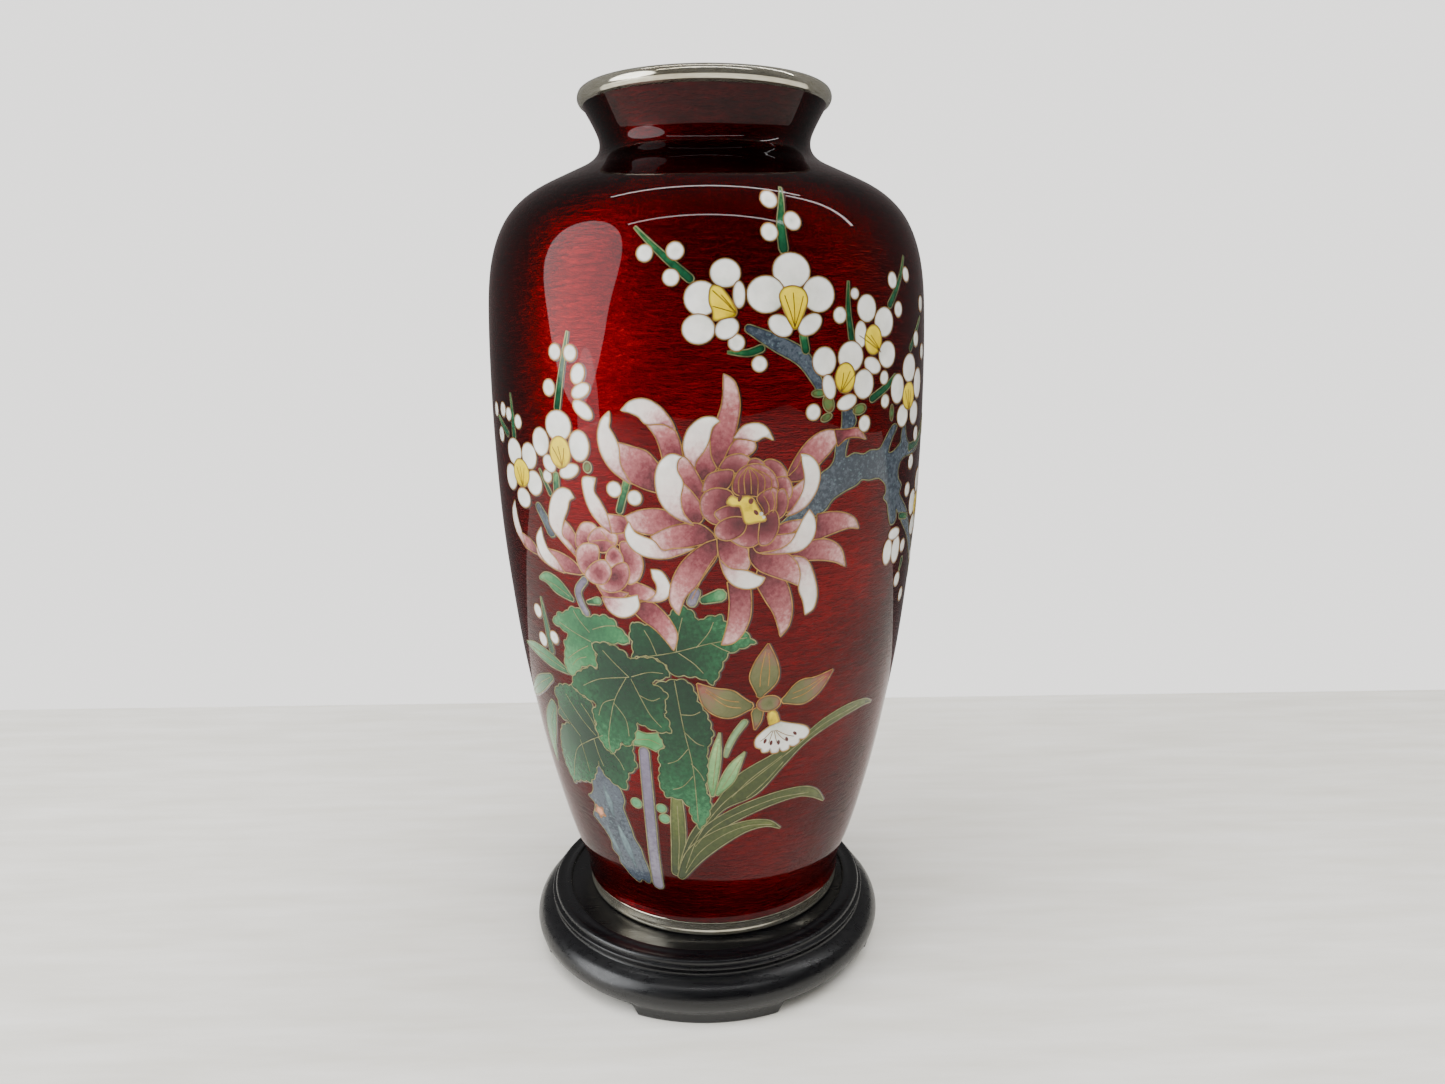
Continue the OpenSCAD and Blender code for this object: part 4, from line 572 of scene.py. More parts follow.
ORCHID_STEM = [(8.6, 74.4, 0.8), (6.2, 71, 0.8), (4.4, 67.2, 0.7), (3.7, 64.4, 0.4)]
ORCHID_SHOOTS = [
    [(-0.1, 52, 0.5), (0, 58, 1.5), (1, 65, 1.3), (2, 71.6, 0.1)],
    [(1.4, 52.4, 0.6), (4.4, 57, 1.8), (6.4, 61.2, 1.4), (9, 65.2, 0.1)],
]
ORCHID_BLADES = [
    [(-13.4, 24, 1.2), (-11.6, 34, 1.9), (-11, 43, 1.9), (-10.8, 50.4, 1.4)],
    [(-11, 25, 1), (-5.6, 37.6, 1.6), (1.6, 47.6, 1.4), (10, 54.6, 4.2), (19, 61.4, 2.6),
     (26, 66, 1.2), (33, 69.8, 1.5), (41, 71.8, 1.5), (49, 71.8, 0.9), (54, 70.4, 0.1)],
    [(-7, 33, 1), (-1, 40, 1.8), (8, 45.6, 2), (18, 48.8, 1.8), (27, 49.4, 1.5), (33, 47.4, 1.2),
     (38, 43.4, 0.1)],
    [(-11.6, 22.6, 1), (-6, 31, 2.6), (2, 37.2, 2.6), (10, 40.6, 1.8), (17, 40.8, 1),
     (22, 38.2, 0.1)],
]
LARGE_HEART = [
    (3.9, 134.4), (4.9, 136), (6.4, 135.4), (8.6, 135.9), (10, 134.8), (11.2, 132.4), (12.8, 129.8),
    (10.8, 129.3), (8.2, 129.1), (7.4, 131.6), (6.8, 133.4), (5.2, 133.6),
]

# the plum tree's wood and the leaves lie lowest
cell("bark", shape(TRUNK, 3), hub=(-34, 36))
ribbons("bark_patches", [
    [(-35.6, 50, 0.3), (-34.6, 45, 1.1), (-34.2, 40, 0.4)],
    [(-33, 37, 0.4), (-31.4, 31, 1.3), (-29.4, 23, 0.4)],
    [(-38.4, 35, 0.3), (-37, 30, 0.9), (-34.6, 24, 0.3)],
], bare=True)
KNOT = (-40.2, 40)
star = []
for i in range(10):
    r, t = 2.6 if i % 2 else 1.2, i * TAU / 10 + 0.2
    star.append((KNOT[0] + r * math.cos(t) / 0.9, KNOT[1] + r * math.sin(t)))
cell("knots", rounded(np.array(star)), hub=KNOT, painted_shadow=False)

ribbons("pale_leaves", MUM_LEAVES_PALE)
cell("pale_leaves", toothed(shape(MUM_LEAVES_PALE_SHAPES[0], 3)), hub=(-32, 99))
cell("bright_leaves", shape(MUM_LEAVES_PALE_SHAPES[1], 3), hub=(-17, 68))
threads(PALE, [
    [(-32, 95.4), (-37, 97), (-42.6, 99)], [(-32, 98), (-35, 101), (-36.6, 103.4)],
    [(-31, 99), (-27, 100.6), (-24, 101)], [(-33, 94), (-37, 91.6), (-41, 88.6)],
    [(-34, 90.6), (-37, 89.4), (-39.6, 87)], [(-43, 84.9), (-53, 86.8), (-64, 87)],
    [(-51.6, 80), (-60, 75.6), (-72, 68.8)], [(-53, 70), (-57.6, 63.6), (-61, 52)],
    [(-37.4, 107.2), (-42, 109.4), (-47.6, 110.4)], [(-21.4, 68), (-17.6, 68.6), (-14.4, 67.4)],
], 0.11)

ovals("stem_buds", [(a, z, r, r) for a, z, r in MUM_STEM_BUDS])
ribbons("stems", MUM_STEMS)
ribbons("blades", ORCHID_BLADES)
threads(PALE, [
    [(-12.6, 25), (-11.2, 35), (-10.8, 48)],
    [(-9.6, 26), (-4.6, 38), (2.4, 48.4), (11, 55.6), (20, 62), (33, 69.8), (46, 71.9)],
    [(-6, 34), (0, 41), (9, 46), (20, 48.9), (31, 48.2)],
    [(-10, 24), (-4.6, 32), (3, 38), (11, 40.8), (19, 40)],
    [(5.6, 51), (11.4, 56.8), (20, 62.6)], [(10, 50.4), (15, 54.6), (20.6, 60.6)],
], 0.12)
ribbons("young_stems", [ORCHID_STEM])
ribbons("shoots", ORCHID_SHOOTS)
threads(PALE, [[(0, 54), (0.6, 60), (1.6, 68)], [(2.6, 54), (5.4, 58.6), (8, 63.4)]], 0.1)

LEAF_HUBS = [(-21.3, 87), (-12, 93.4), (-9.2, 87.4), (-36, 66)]
for i in (3, 1, 2, 0):
    cell("leaves", toothed(shape(MUM_LEAVES_DARK[i], 3)), hub=LEAF_HUBS[i])
threads(PALE, [
    # the middle leaf
    [(-21.5, 86.8), (-25.6, 90.6), (-28.5, 93.5)], [(-21.5, 86.8), (-30.3, 84.9), (-36.6, 81.6)],
    [(-22.4, 86.4), (-26.2, 80), (-28.4, 74), (-30.3, 67.1), (-30.3, 63.4)],
    [(-26.9, 78.4), (-23.8, 74), (-23.4, 68.8)], [(-26.4, 79.6), (-30.4, 77.6), (-32.6, 73.4)],
    [(-21, 86.4), (-18.5, 80.6), (-16.4, 76.2), (-13.6, 72.8)], [(-19, 81.8), (-15.8, 80.6), (-13.4, 81.6)],
    [(-20.8, 87), (-16, 88.8), (-12.2, 88.8)],
    # the upper right leaf
    [(-17.6, 93), (-9.6, 94.8), (0, 97.6), (8.8, 98.8)], [(-13.6, 94), (-15, 98), (-16.4, 100.6)],
    [(-8.6, 95), (-8, 99.4), (-6.8, 104.6)], [(-3.6, 96.4), (-0.6, 100.4), (0.6, 103.4)],
    [(-8, 94.8), (-4.4, 92), (-2, 89.2)], [(0, 97.6), (2.6, 96), (4.6, 95)],
    # the long leaf that hangs
    [(-9.4, 87), (-7.6, 73), (-5.4, 60), (-4.6, 43)], [(-8, 77), (-5, 77), (-3, 78)],
    [(-7.6, 72), (-4.4, 68.6), (-2.2, 67.6)], [(-6.6, 66.6), (-9.6, 63), (-12.6, 61.6)],
    [(-6, 62), (-3.6, 59), (-2.4, 56.6)], [(-5.6, 58), (-8.6, 54.6), (-11.6, 53.4)],
    # the lower left leaf
    [(-32.4, 67.2), (-39.1, 63.5), (-45, 59), (-50.2, 48.6)], [(-35, 66.6), (-39.6, 70.8), (-44.6, 77)],
    [(-41.6, 64.6), (-46, 68.6), (-49.4, 72)], [(-36, 65.4), (-35.2, 60.6), (-34, 57)],
    [(-42, 63.4), (-41, 57.6), (-40.6, 53.4)], [(-31, 63.6), (-28, 60.4), (-26.6, 57.4)],
    [(-34, 67.4), (-35.6, 71.6), (-38.6, 75.6)],
], 0.1)

ribbons("bark", PLUM_BRANCHES)
cell("bark", shape(MAIN_BRANCH, 3), hub=(40, 141))
ribbons("twigs", PLUM_TWIGS)
ovals("calyxes", PLUM_SEPALS)

# the smaller chrysanthemum, then the large one
shapes("petals", SMALL_PETALS)
shapes("curls", SMALL_CURLS)
shapes("petals", SMALL_BALL)
shapes("petals", LARGE_BACK)
shapes("curls", LARGE_CURLS[:3])
shapes("petals", LARGE_FRONT)
shapes("curls", LARGE_CURLS[3:])
shapes("ball", LARGE_BALL)
FAN_TOP = (8.7, 143.2)
threads(GILT, [[FAN_TOP, ((FAN_TOP[0] + a) / 2 + bow, 140.4), (a, z)] for a, z, bow in (
    (6.6, 136.8, -1.0), (8.0, 136.4, -0.6), (9.4, 136.4, 0.2), (10.8, 136.2, 1.0), (12.2, 136.2, 1.8),
    (13.8, 136.8, 2.4))], 0.12)
threads(GILT, [
    [(12.2, 135.8), (13.4, 133.4), (13.4, 131)], [(14.2, 136.8), (14.8, 134), (14.4, 131.4)],
    [(-25.8, 126.4), (-24, 124), (-22.4, 122.6)], [(-28.6, 123.4), (-25.4, 124), (-22.4, 123.6)],
    [(1.3, 121), (-1.4, 116.4), (-3, 112.6), (-4.4, 109.6)], [(18, 140.4), (20, 142.4), (21.2, 145)],
], 0.12)
cell("yellow", shape(LARGE_HEART, 4), hub=(8.8, 133))
ovals("dark_drops", [(6.8, 135.4, 0.5, 0.9, -20), (9.3, 134.6, 0.65, 0.75), (10.5, 131.7, 0.5, 0.8, 40)],
      bare=True)
ovals("white", [(11.7, 131.3, 0.5, 0.5), (12.3, 130.4, 0.45, 0.4)], bare=True)

# the orchid
ribbons("sepals", ORCHID_SEPALS)
ovals("sepals", [(15, 79.4, 3.2, 2.2)], hubs=[(15, 79.4)])
threads(GILT, [
    [(12.4, 84.6), (12.6, 89), (13.6, 94.6)], [(14.6, 84.6), (14.8, 89), (14.4, 94)],
    [(7.6, 78.8), (3.4, 79.8), (-1.6, 84)], [(7, 80.6), (3, 81.6), (-1.4, 84.6)],
    [(21.4, 79.8), (26, 81), (31.6, 84.6)], [(21.6, 81.4), (26, 82.6), (31, 84.8)],
], 0.12)
cell("yellow", ribbon(ORCHID_LIP)[0], hub=(16.5, 74))
cell("white", shape(ORCHID_SKIRT, 4), hub=(17.4, 72.6))
threads(DARK, [
    [(17 + 0.3 * k, 71), (17.6 + 1.5 * k, 68.6 + 0.12 * k * k), (18.2 + 2.5 * k, 66.9 + 0.3 * k * k)]
    for k in (-2, -1, 0, 1, 2)], 0.1)
ovals("dark_drops", [(a, z, 0.45, 0.8, tilt) for a, z, tilt in (
    (14.6, 68, -15), (16.4, 67.2, -6), (18.6, 67, 6), (21, 67.6, 24), (23.4, 69, 44))], bare=True)

# the plum blossoms lie highest
ovals("white", [(a, z, r, r) for a, z, r in PLUM_BUDS])
ovals("white", PLUM_PETALS, hubs=[h[0] for h in FRONT_HEARTS] + [h[:2] for h in PLUM_HEARTS])
for _, root, outline in FRONT_HEARTS:
    cell("yellow", rounded(np.array(outline, float), 2), hub=root)
fans = [((6.2, 179.4), [(1.2, 184.6), (3, 183.6), (1.2, 181)]),
        ((19.3, 176), [(17, 183.4), (19, 184), (21.4, 183.2)])]
for a, z, w, h, root in PLUM_HEARTS:
    cell("yellow", oval(a, z, w, h), hub=root)
    fans.append((root, [(2 * a - root[0] + s * 1.9, z + (z - root[1]) * 0.45 - abs(s) * 0.3)
                        for s in (-1, 0, 1)]))
for (a, z), tips in fans:
    threads(DARK, [[(a, z), ((a + t[0]) / 2 + 0.1, (z + t[1]) / 2), t] for t in tips], 0.11)


# ---------------------------------------------------------------- one flush mosaic, cut where cells meet
PROUD = {"cell": 0.06, "wire": 0.085, "painted_shadow": 0.02}   # mm above the ground


def mosaic():
    """Cuts the whole design into triangles, and says which cell or wire each belongs to."""
    points, edges, boxes, rings = [], [], [], []

    def add(o):
        n = len(points)
        points.extend(map(tuple, o))
        edges.extend((n + i, n + (i + 1) % len(o)) for i in range(len(o)))

    for c in cells:
        add(c["o"])
        ring = grown(c["o"], WIRE) if c["wire"] else None
        painted_shadow = None
        # A painted shadow: the cell's outline grown past the wire and shifted right and down, where the
        # wire's wall would shade the foil.
        if c["painted_shadow"]:
            painted_shadow = grown(c["o"], WIRE + PAINTED_SHADOW_REACH)
            painted_shadow[:, 0] += PAINTED_SHADOW_RIGHT / degree_mm(painted_shadow[:, 1])
            painted_shadow[:, 1] -= PAINTED_SHADOW_DOWN
        for o in (ring, painted_shadow):
            if o is not None:
                add(o)
        rings.append((ring, painted_shadow))
        wide = painted_shadow if painted_shadow is not None else ring if ring is not None else c["o"]
        boxes.append((wide.min(0) - 0.5, wide.max(0) + 0.5))
    lo, hi = np.min(points, 0), np.max(points, 0)
    gap_a, gap_z = 1.3, 1.15                      # degrees and mm between the points within cells
    grid = np.array([(a + (gap_a / 2 if j % 2 else 0), z)
                     for j, z in enumerate(np.arange(lo[1], hi[1], gap_z))
                     for a in np.arange(lo[0], hi[0], gap_a)])
    near = np.zeros(len(grid), bool)
    for c, (b0, b1) in zip(cells, boxes):
        w = np.where(np.all((grid > b0) & (grid < b1), 1) & ~near)[0]
        near[w[inside(grid[w], c["o"])]] = True
    points.extend(map(tuple, grid[near]))
    result = delaunay_2d_cdt([Vector(p) for p in points], edges, [], 0, 1e-4)
    verts = np.array([tuple(v) for v in result[0]])
    tris = np.array([f for f in result[2] if len(f) == 3])
    mid = verts[tris].mean(1)
    owner = np.full(len(tris), -1)
    for i, c in enumerate(cells):
        ring, painted_shadow = rings[i]
        b0, b1 = boxes[i]
        w = np.where(np.all((mid > b0) & (mid < b1), 1))[0]
        if painted_shadow is not None:
            hit = w[inside(mid[w], painted_shadow)]
            owner[hit[owner[hit] < 0]] = PAINTED_SHADOW_ID + i
        if ring is not None:
            owner[w[inside(mid[w], ring)]] = WIRE_ID + i
        owner[w[inside(mid[w], c["o"])]] = (WIRE_ID if c["thread"] else 0) + i
    return verts, tris, owner


def solid(verts, tris, proud, depth=0.2):
    """A closed thin solid on the body, above one patch of triangles."""
    used, flat = np.unique(tris, return_inverse=True)
    tris = flat.reshape(-1, 3)
    az = verts[used]
    d1, d2 = az[tris[:, 1]] - az[tris[:, 0]], az[tris[:, 2]] - az[tris[:, 0]]
    turn = d1[:, 0] * d2[:, 1] - d1[:, 1] * d2[:, 0]
    tris = np.where((turn < 0)[:, None], tris[:, ::-1], tris)
    tris = tris[np.abs(turn) > 1e-7]
    n = len(used)
    top, way = on_body(az, proud)
    low, _ = on_body(az, proud - depth)
    e = np.concatenate([tris[:, [0, 1]], tris[:, [1, 2]], tris[:, [2, 0]]])
    key = e[:, 0].astype(np.int64) * n + e[:, 1]
    back = e[:, 1].astype(np.int64) * n + e[:, 0]
    rim = e[~np.isin(key, back)]
    faces = [tuple(t) for t in tris]
    faces += [(t[2] + n, t[1] + n, t[0] + n) for t in tris]
    faces += [(b, a, a + n, b + n) for a, b in rim]
    return np.concatenate([top, low]), faces, np.concatenate([way, -way]), az, n


def build_mesh(name, co, faces, material, normals=None, smooth=True):
    mesh = bpy.data.meshes.new(name)
    mesh.from_pydata([tuple(c) for c in co], [], faces)
    mesh.materials.append(material)
    if smooth:
        mesh.polygons.foreach_set("use_smooth", [True] * len(mesh.polygons))
    if normals is not None:
        mesh.normals_split_custom_set(normals)
    ob = bpy.data.objects.new(name, mesh)
    bpy.context.scene.collection.objects.link(ob)
    return ob


def thin_piece(name, patches, material, kind):
    """One object made of closed thin solids. Each patch is (triangles, cell or None)."""
    co, faces, normals = [], [], []
    values = {"along": [], "rim": [], "seed": []}
    count = 0
    for tris, c in patches:
        if not len(tris):
            continue
        p, sides, way, az, n = solid(VERTS, tris, PROUD[kind])
        if not sides:
            continue
        co.append(p)
        for face in sides:
            faces.append(tuple(v + count for v in face))
            if len(face) == 3:
                normals.extend(tuple(way[v]) for v in face)
            else:
                u = np.cross(p[face[1]] - p[face[0]], p[face[2]] - p[face[1]])
                normals.extend([tuple(u / max(np.linalg.norm(u), 1e-12))] * 4)
        along = rim = seed = np.zeros(n)
        if c is not None:
            rim = edge_distance(az, c["o"])
            seed = np.full(n, c["seed"])
            scale = [degree_mm(az[:, 1].mean()), 1]
            if c["line"] is not None:
                q = c["line"] * scale
                far = ((az * scale)[:, None, :] - q[None]) ** 2
                along = far.sum(2).argmin(1) / max(len(q) - 1, 1)
            else:
                hub = np.array(c["hub"] if c["hub"] is not None else c["o"].mean(0))
                farthest = np.linalg.norm((c["o"] - hub) * scale, axis=1).max()
                along = np.linalg.norm((az - hub) * scale, axis=1) / max(farthest, 0.1)
        for key, v in (("along", along), ("rim", rim), ("seed", seed)):
            values[key].append(np.tile(v, 2))
        count += 2 * n
    ob = build_mesh(name, np.concatenate(co), faces, material, normals)
    for key, v in values.items():
        a = ob.data.attributes.new(key, "FLOAT", "POINT")
        a.data.foreach_set("value", np.concatenate(v).astype(np.float32))
    return ob


VERTS, TRIS, OWNER = mosaic()


# ---------------------------------------------------------------- materials
class Nodes:
    """A small helper to lay out one material's nodes."""

    def __init__(self, name):
        self.mat = bpy.data.materials.new(name)
        self.mat.use_nodes = True
        self.tree = self.mat.node_tree
        self.shader = self.tree.nodes["Principled BSDF"]
        self.coord = None

    def node(self, kind, **settings):
        n = self.tree.nodes.new(kind)
        for key, value in settings.items():
            setattr(n, key, value)
        return n

    def link(self, a, b):
        self.tree.links.new(a, b)

    def place(self, stretch=(1, 1, 1)):
        if self.coord is None:
            self.coord = self.node("ShaderNodeTexCoord")
        m = self.node("ShaderNodeMapping")
        m.inputs["Scale"].default_value = stretch
        self.link(self.coord.outputs["Object"], m.inputs["Vector"])
        return m.outputs["Vector"]

    def noise(self, scale, detail=3.0, rough=0.55, stretch=(1, 1, 1), distortion=0.0):
        n = self.node("ShaderNodeTexNoise")
        for key, v in zip(("Scale", "Detail", "Roughness", "Distortion"), (scale, detail, rough, distortion)):
            n.inputs[key].default_value = v
        self.link(self.place(stretch), n.inputs["Vector"])
        return n.outputs["Fac"]

    def height(self):
        """Metres over the piece's own origin."""
        split = self.node("ShaderNodeSeparateXYZ")
        self.link(self.place(), split.inputs[0])
        return split.outputs["Z"]

    def read(self, name):
        return self.node("ShaderNodeAttribute", attribute_name=name).outputs["Fac"]

    def feed(self, socket, v):
        """Links another node's output to a socket, or sets a plain value on it."""
        if hasattr(v, "node"):
            self.link(v, socket)
        else:
            socket.default_value = v

    def maths(self, operation, a, b=0.0, clamp=False):
        n = self.node("ShaderNodeMath", operation=operation, use_clamp=clamp)
        self.feed(n.inputs[0], a)
        self.feed(n.inputs[1], b)
        return n.outputs[0]

    def span(self, value, low, high, out_low=0.0, out_high=1.0, smooth=False):
        n = self.node("ShaderNodeMapRange")
        if smooth:
            n.interpolation_type = "SMOOTHSTEP"
        self.link(value, n.inputs["Value"])
        for key, v in (("From Min", low), ("From Max", high), ("To Min", out_low), ("To Max", out_high)):
            n.inputs[key].default_value = v
        return n.outputs["Result"]

    def ramp(self, value, stops):
        n = self.node("ShaderNodeValToRGB")
        el = n.color_ramp.elements
        while len(el) < len(stops):
            el.new(0.5)
        for e, (pos, colour) in zip(el, stops):
            e.position = pos
            e.color = colour
        self.link(value, n.inputs["Fac"])
        return n.outputs["Color"]

    def mix(self, fac, a, b, mode="MIX"):
        n = self.node("ShaderNodeMix", data_type="RGBA", blend_type=mode)
        for key, v in ((0, fac), (6, a), (7, b)):
            self.feed(n.inputs[key], v)
        return n.outputs[2]

    def bump(self, height, strength, distance):
        n = self.node("ShaderNodeBump")
        n.inputs["Strength"].default_value = strength
        n.inputs["Distance"].default_value = distance
        self.link(height, n.inputs["Height"])
        return n.outputs["Normal"]

    def set(self, **values):
        for key, v in values.items():
            self.feed(self.shader.inputs[key.replace("_", " ")], v)


def colours(stops):
    """Stops given as (place, red, green, blue)."""
    return [(place, lin(*rgb)) for place, *rgb in stops]


def glass_cell(name, stops, mottle, speckle=None, rim=0.55):
    """Opaque enamel: a colour that changes from a cell's root to its tip, clouded and ground flush."""
    m = Nodes(name)
    grain, rough = 900.0, 0.07
    cloud = m.noise(grain, 3.0, 0.6)
    wide = m.noise(grain * 0.3, 2.0, 0.5)
    shift = m.span(cloud, 0.3, 0.7, -mottle, mottle)
    seed = m.span(m.read("seed"), 0.0, 1.0, -0.07, 0.07)
    t = m.maths("ADD", m.maths("ADD", m.read("along"), shift), seed, clamp=True)
    colour = m.ramp(t, colours(stops))
    if speckle:
        spots = m.span(m.noise(grain * 1.7, 2.0, 0.5), 0.6, 0.72)
        colour = m.mix(m.maths("MULTIPLY", spots, 0.5), colour, speckle)
    shade = m.span(wide, 0.25, 0.75, 0.86, 1.06)
    edge = m.span(m.read("rim"), 0.0, 0.5, rim, 1.0, smooth=True)
    both = m.maths("MULTIPLY", shade, edge)
    grey = m.node("ShaderNodeCombineColor")
    for s in grey.inputs:
        m.link(both, s)
    m.set(Base_Color=m.mix(1.0, colour, grey.outputs[0], "MULTIPLY"), IOR=1.4)
    m.set(Roughness=m.span(m.noise(2600, 2.0), 0.3, 0.7, rough * 0.7, rough * 1.6))
    pits = m.noise(3200.0, 2.0, 0.6)
    m.set(Normal=m.bump(m.maths("ADD", pits, m.maths("MULTIPLY", wide, 1.4)), 0.12, 0.00006))
    return m.mat


def ground_glass():
    """Clear red glass over hammered silver foil: tinted metal under a polished coat."""
    m = Nodes("red_glass_on_foil")
    ripple = m.noise(210.0, 4.0, 0.6, stretch=(1, 1, 5.0), distortion=0.6)
    fine = m.noise(640.0, 3.0, 0.6, stretch=(1, 1, 4.0), distortion=0.3)
    wide = m.noise(26.0, 2.0, 0.5)
    tone = m.maths("ADD", m.maths("MULTIPLY", ripple, 0.5), m.maths("MULTIPLY", wide, 0.5))
    colour = m.ramp(tone, colours([(0.3, 62, 0, 3), (0.5, 96, 0, 6), (0.7, 136, 2, 9)]))
    # Painted shade: the foil's colour is multiplied by a ramp over height, darker towards the foot, brightest
    # around the belly, much darker over the shoulder and darkest at the neck.
    depth = m.ramp(m.span(m.height(), 0.03, 0.25), [(p, (v, v, v, 1)) for p, v in (
        (0.0, 0.62), (0.32, 0.7), (0.55, 1.0), (0.74, 0.95), (0.83, 0.62), (0.93, 0.22))])
    m.set(Base_Color=m.mix(1.0, colour, depth, "MULTIPLY"), Metallic=0.96)
    m.set(IOR=1.5, Specular_Tint=lin(150, 6, 14))
    m.set(Coat_Weight=0.62, Coat_Roughness=0.018, Coat_IOR=1.34)
    m.set(Roughness=m.span(fine, 0.3, 0.7, 0.17, 0.25))
    height = m.maths("ADD", ripple, m.maths("MULTIPLY", fine, 0.4))
    m.set(Normal=m.bump(height, 1.0, 0.0004))
    return m.mat


def painted_shadow_material():
    """A painted shadow: dark red glass that lies in the corner beside a cell's wire, shifted to the side away
    from the light.
    """
    m = Nodes("painted_shadow_red_glass")
    tone = m.noise(300.0, 3.0, 0.5)
    m.set(Base_Color=m.ramp(tone, colours([(0.3, 24, 0, 2), (0.7, 52, 0, 5)])), Metallic=0.5, IOR=1.5)
    m.set(Roughness=m.span(tone, 0.3, 0.7, 0.25, 0.35))
    m.set(Coat_Weight=1.0, Coat_Roughness=0.018, Coat_IOR=1.38)
    return m.mat


def metal(name, low, high, rough=(0.3, 0.45), scale=400.0, stretch=(1, 1, 1), strength=0.08,
          tarnish=None, body=1.0):
    """Metal between two colours. Body is how far it is metallic."""
    m = Nodes(name)
    n = m.noise(scale, 4.0, 0.6, stretch=stretch)
    colour = m.ramp(n, [(0.3, lin(*low)), (0.7, lin(*high))])
    if tarnish:
        wide = m.noise(60.0, 3.0, 0.6)
        colour = m.mix(m.span(wide, 0.55, 0.75, 0.0, 0.6), colour, lin(*tarnish))
    m.set(Base_Color=colour, Metallic=body, Roughness=m.span(n, 0.3, 0.7, *rough))
    m.set(Normal=m.bump(n, strength, 0.0001))
    return m.mat


def counter_glass(name, dark, light):
    """The dark enamel on the inside and under the base."""
    m = Nodes(name)
    n = m.noise(240.0, 4.0, 0.6)
    m.set(Base_Color=m.ramp(n, [(0.3, lin(*dark)), (0.7, lin(*light))]), IOR=1.52,
          Roughness=m.span(m.noise(90.0, 3.0), 0.3, 0.7, 0.12, 0.3))
    m.set(Normal=m.bump(n, 0.25, 0.0003))
    return m.mat


def lacquered_wood():
    """Black lacquer rubbed to a satin, with the wood's pores just showing."""
    m = Nodes("black_lacquered_wood")
    grain = m.noise(60.0, 5.0, 0.6, stretch=(1, 9, 14), distortion=0.6)
    pores = m.noise(900.0, 3.0, 0.6, stretch=(1, 5, 5))
    colour = m.ramp(grain, colours([(0.3, 7, 7, 9), (0.55, 11, 11, 13), (0.75, 18, 17, 18)]))
    m.set(Base_Color=colour, IOR=1.5, Roughness=m.span(grain, 0.3, 0.7, 0.24, 0.36))
    height = m.maths("ADD", m.maths("MULTIPLY", grain, 0.2), m.maths("MULTIPLY", pores, 0.4))
    m.set(Normal=m.bump(height, 0.05, 0.0001))
    return m.mat


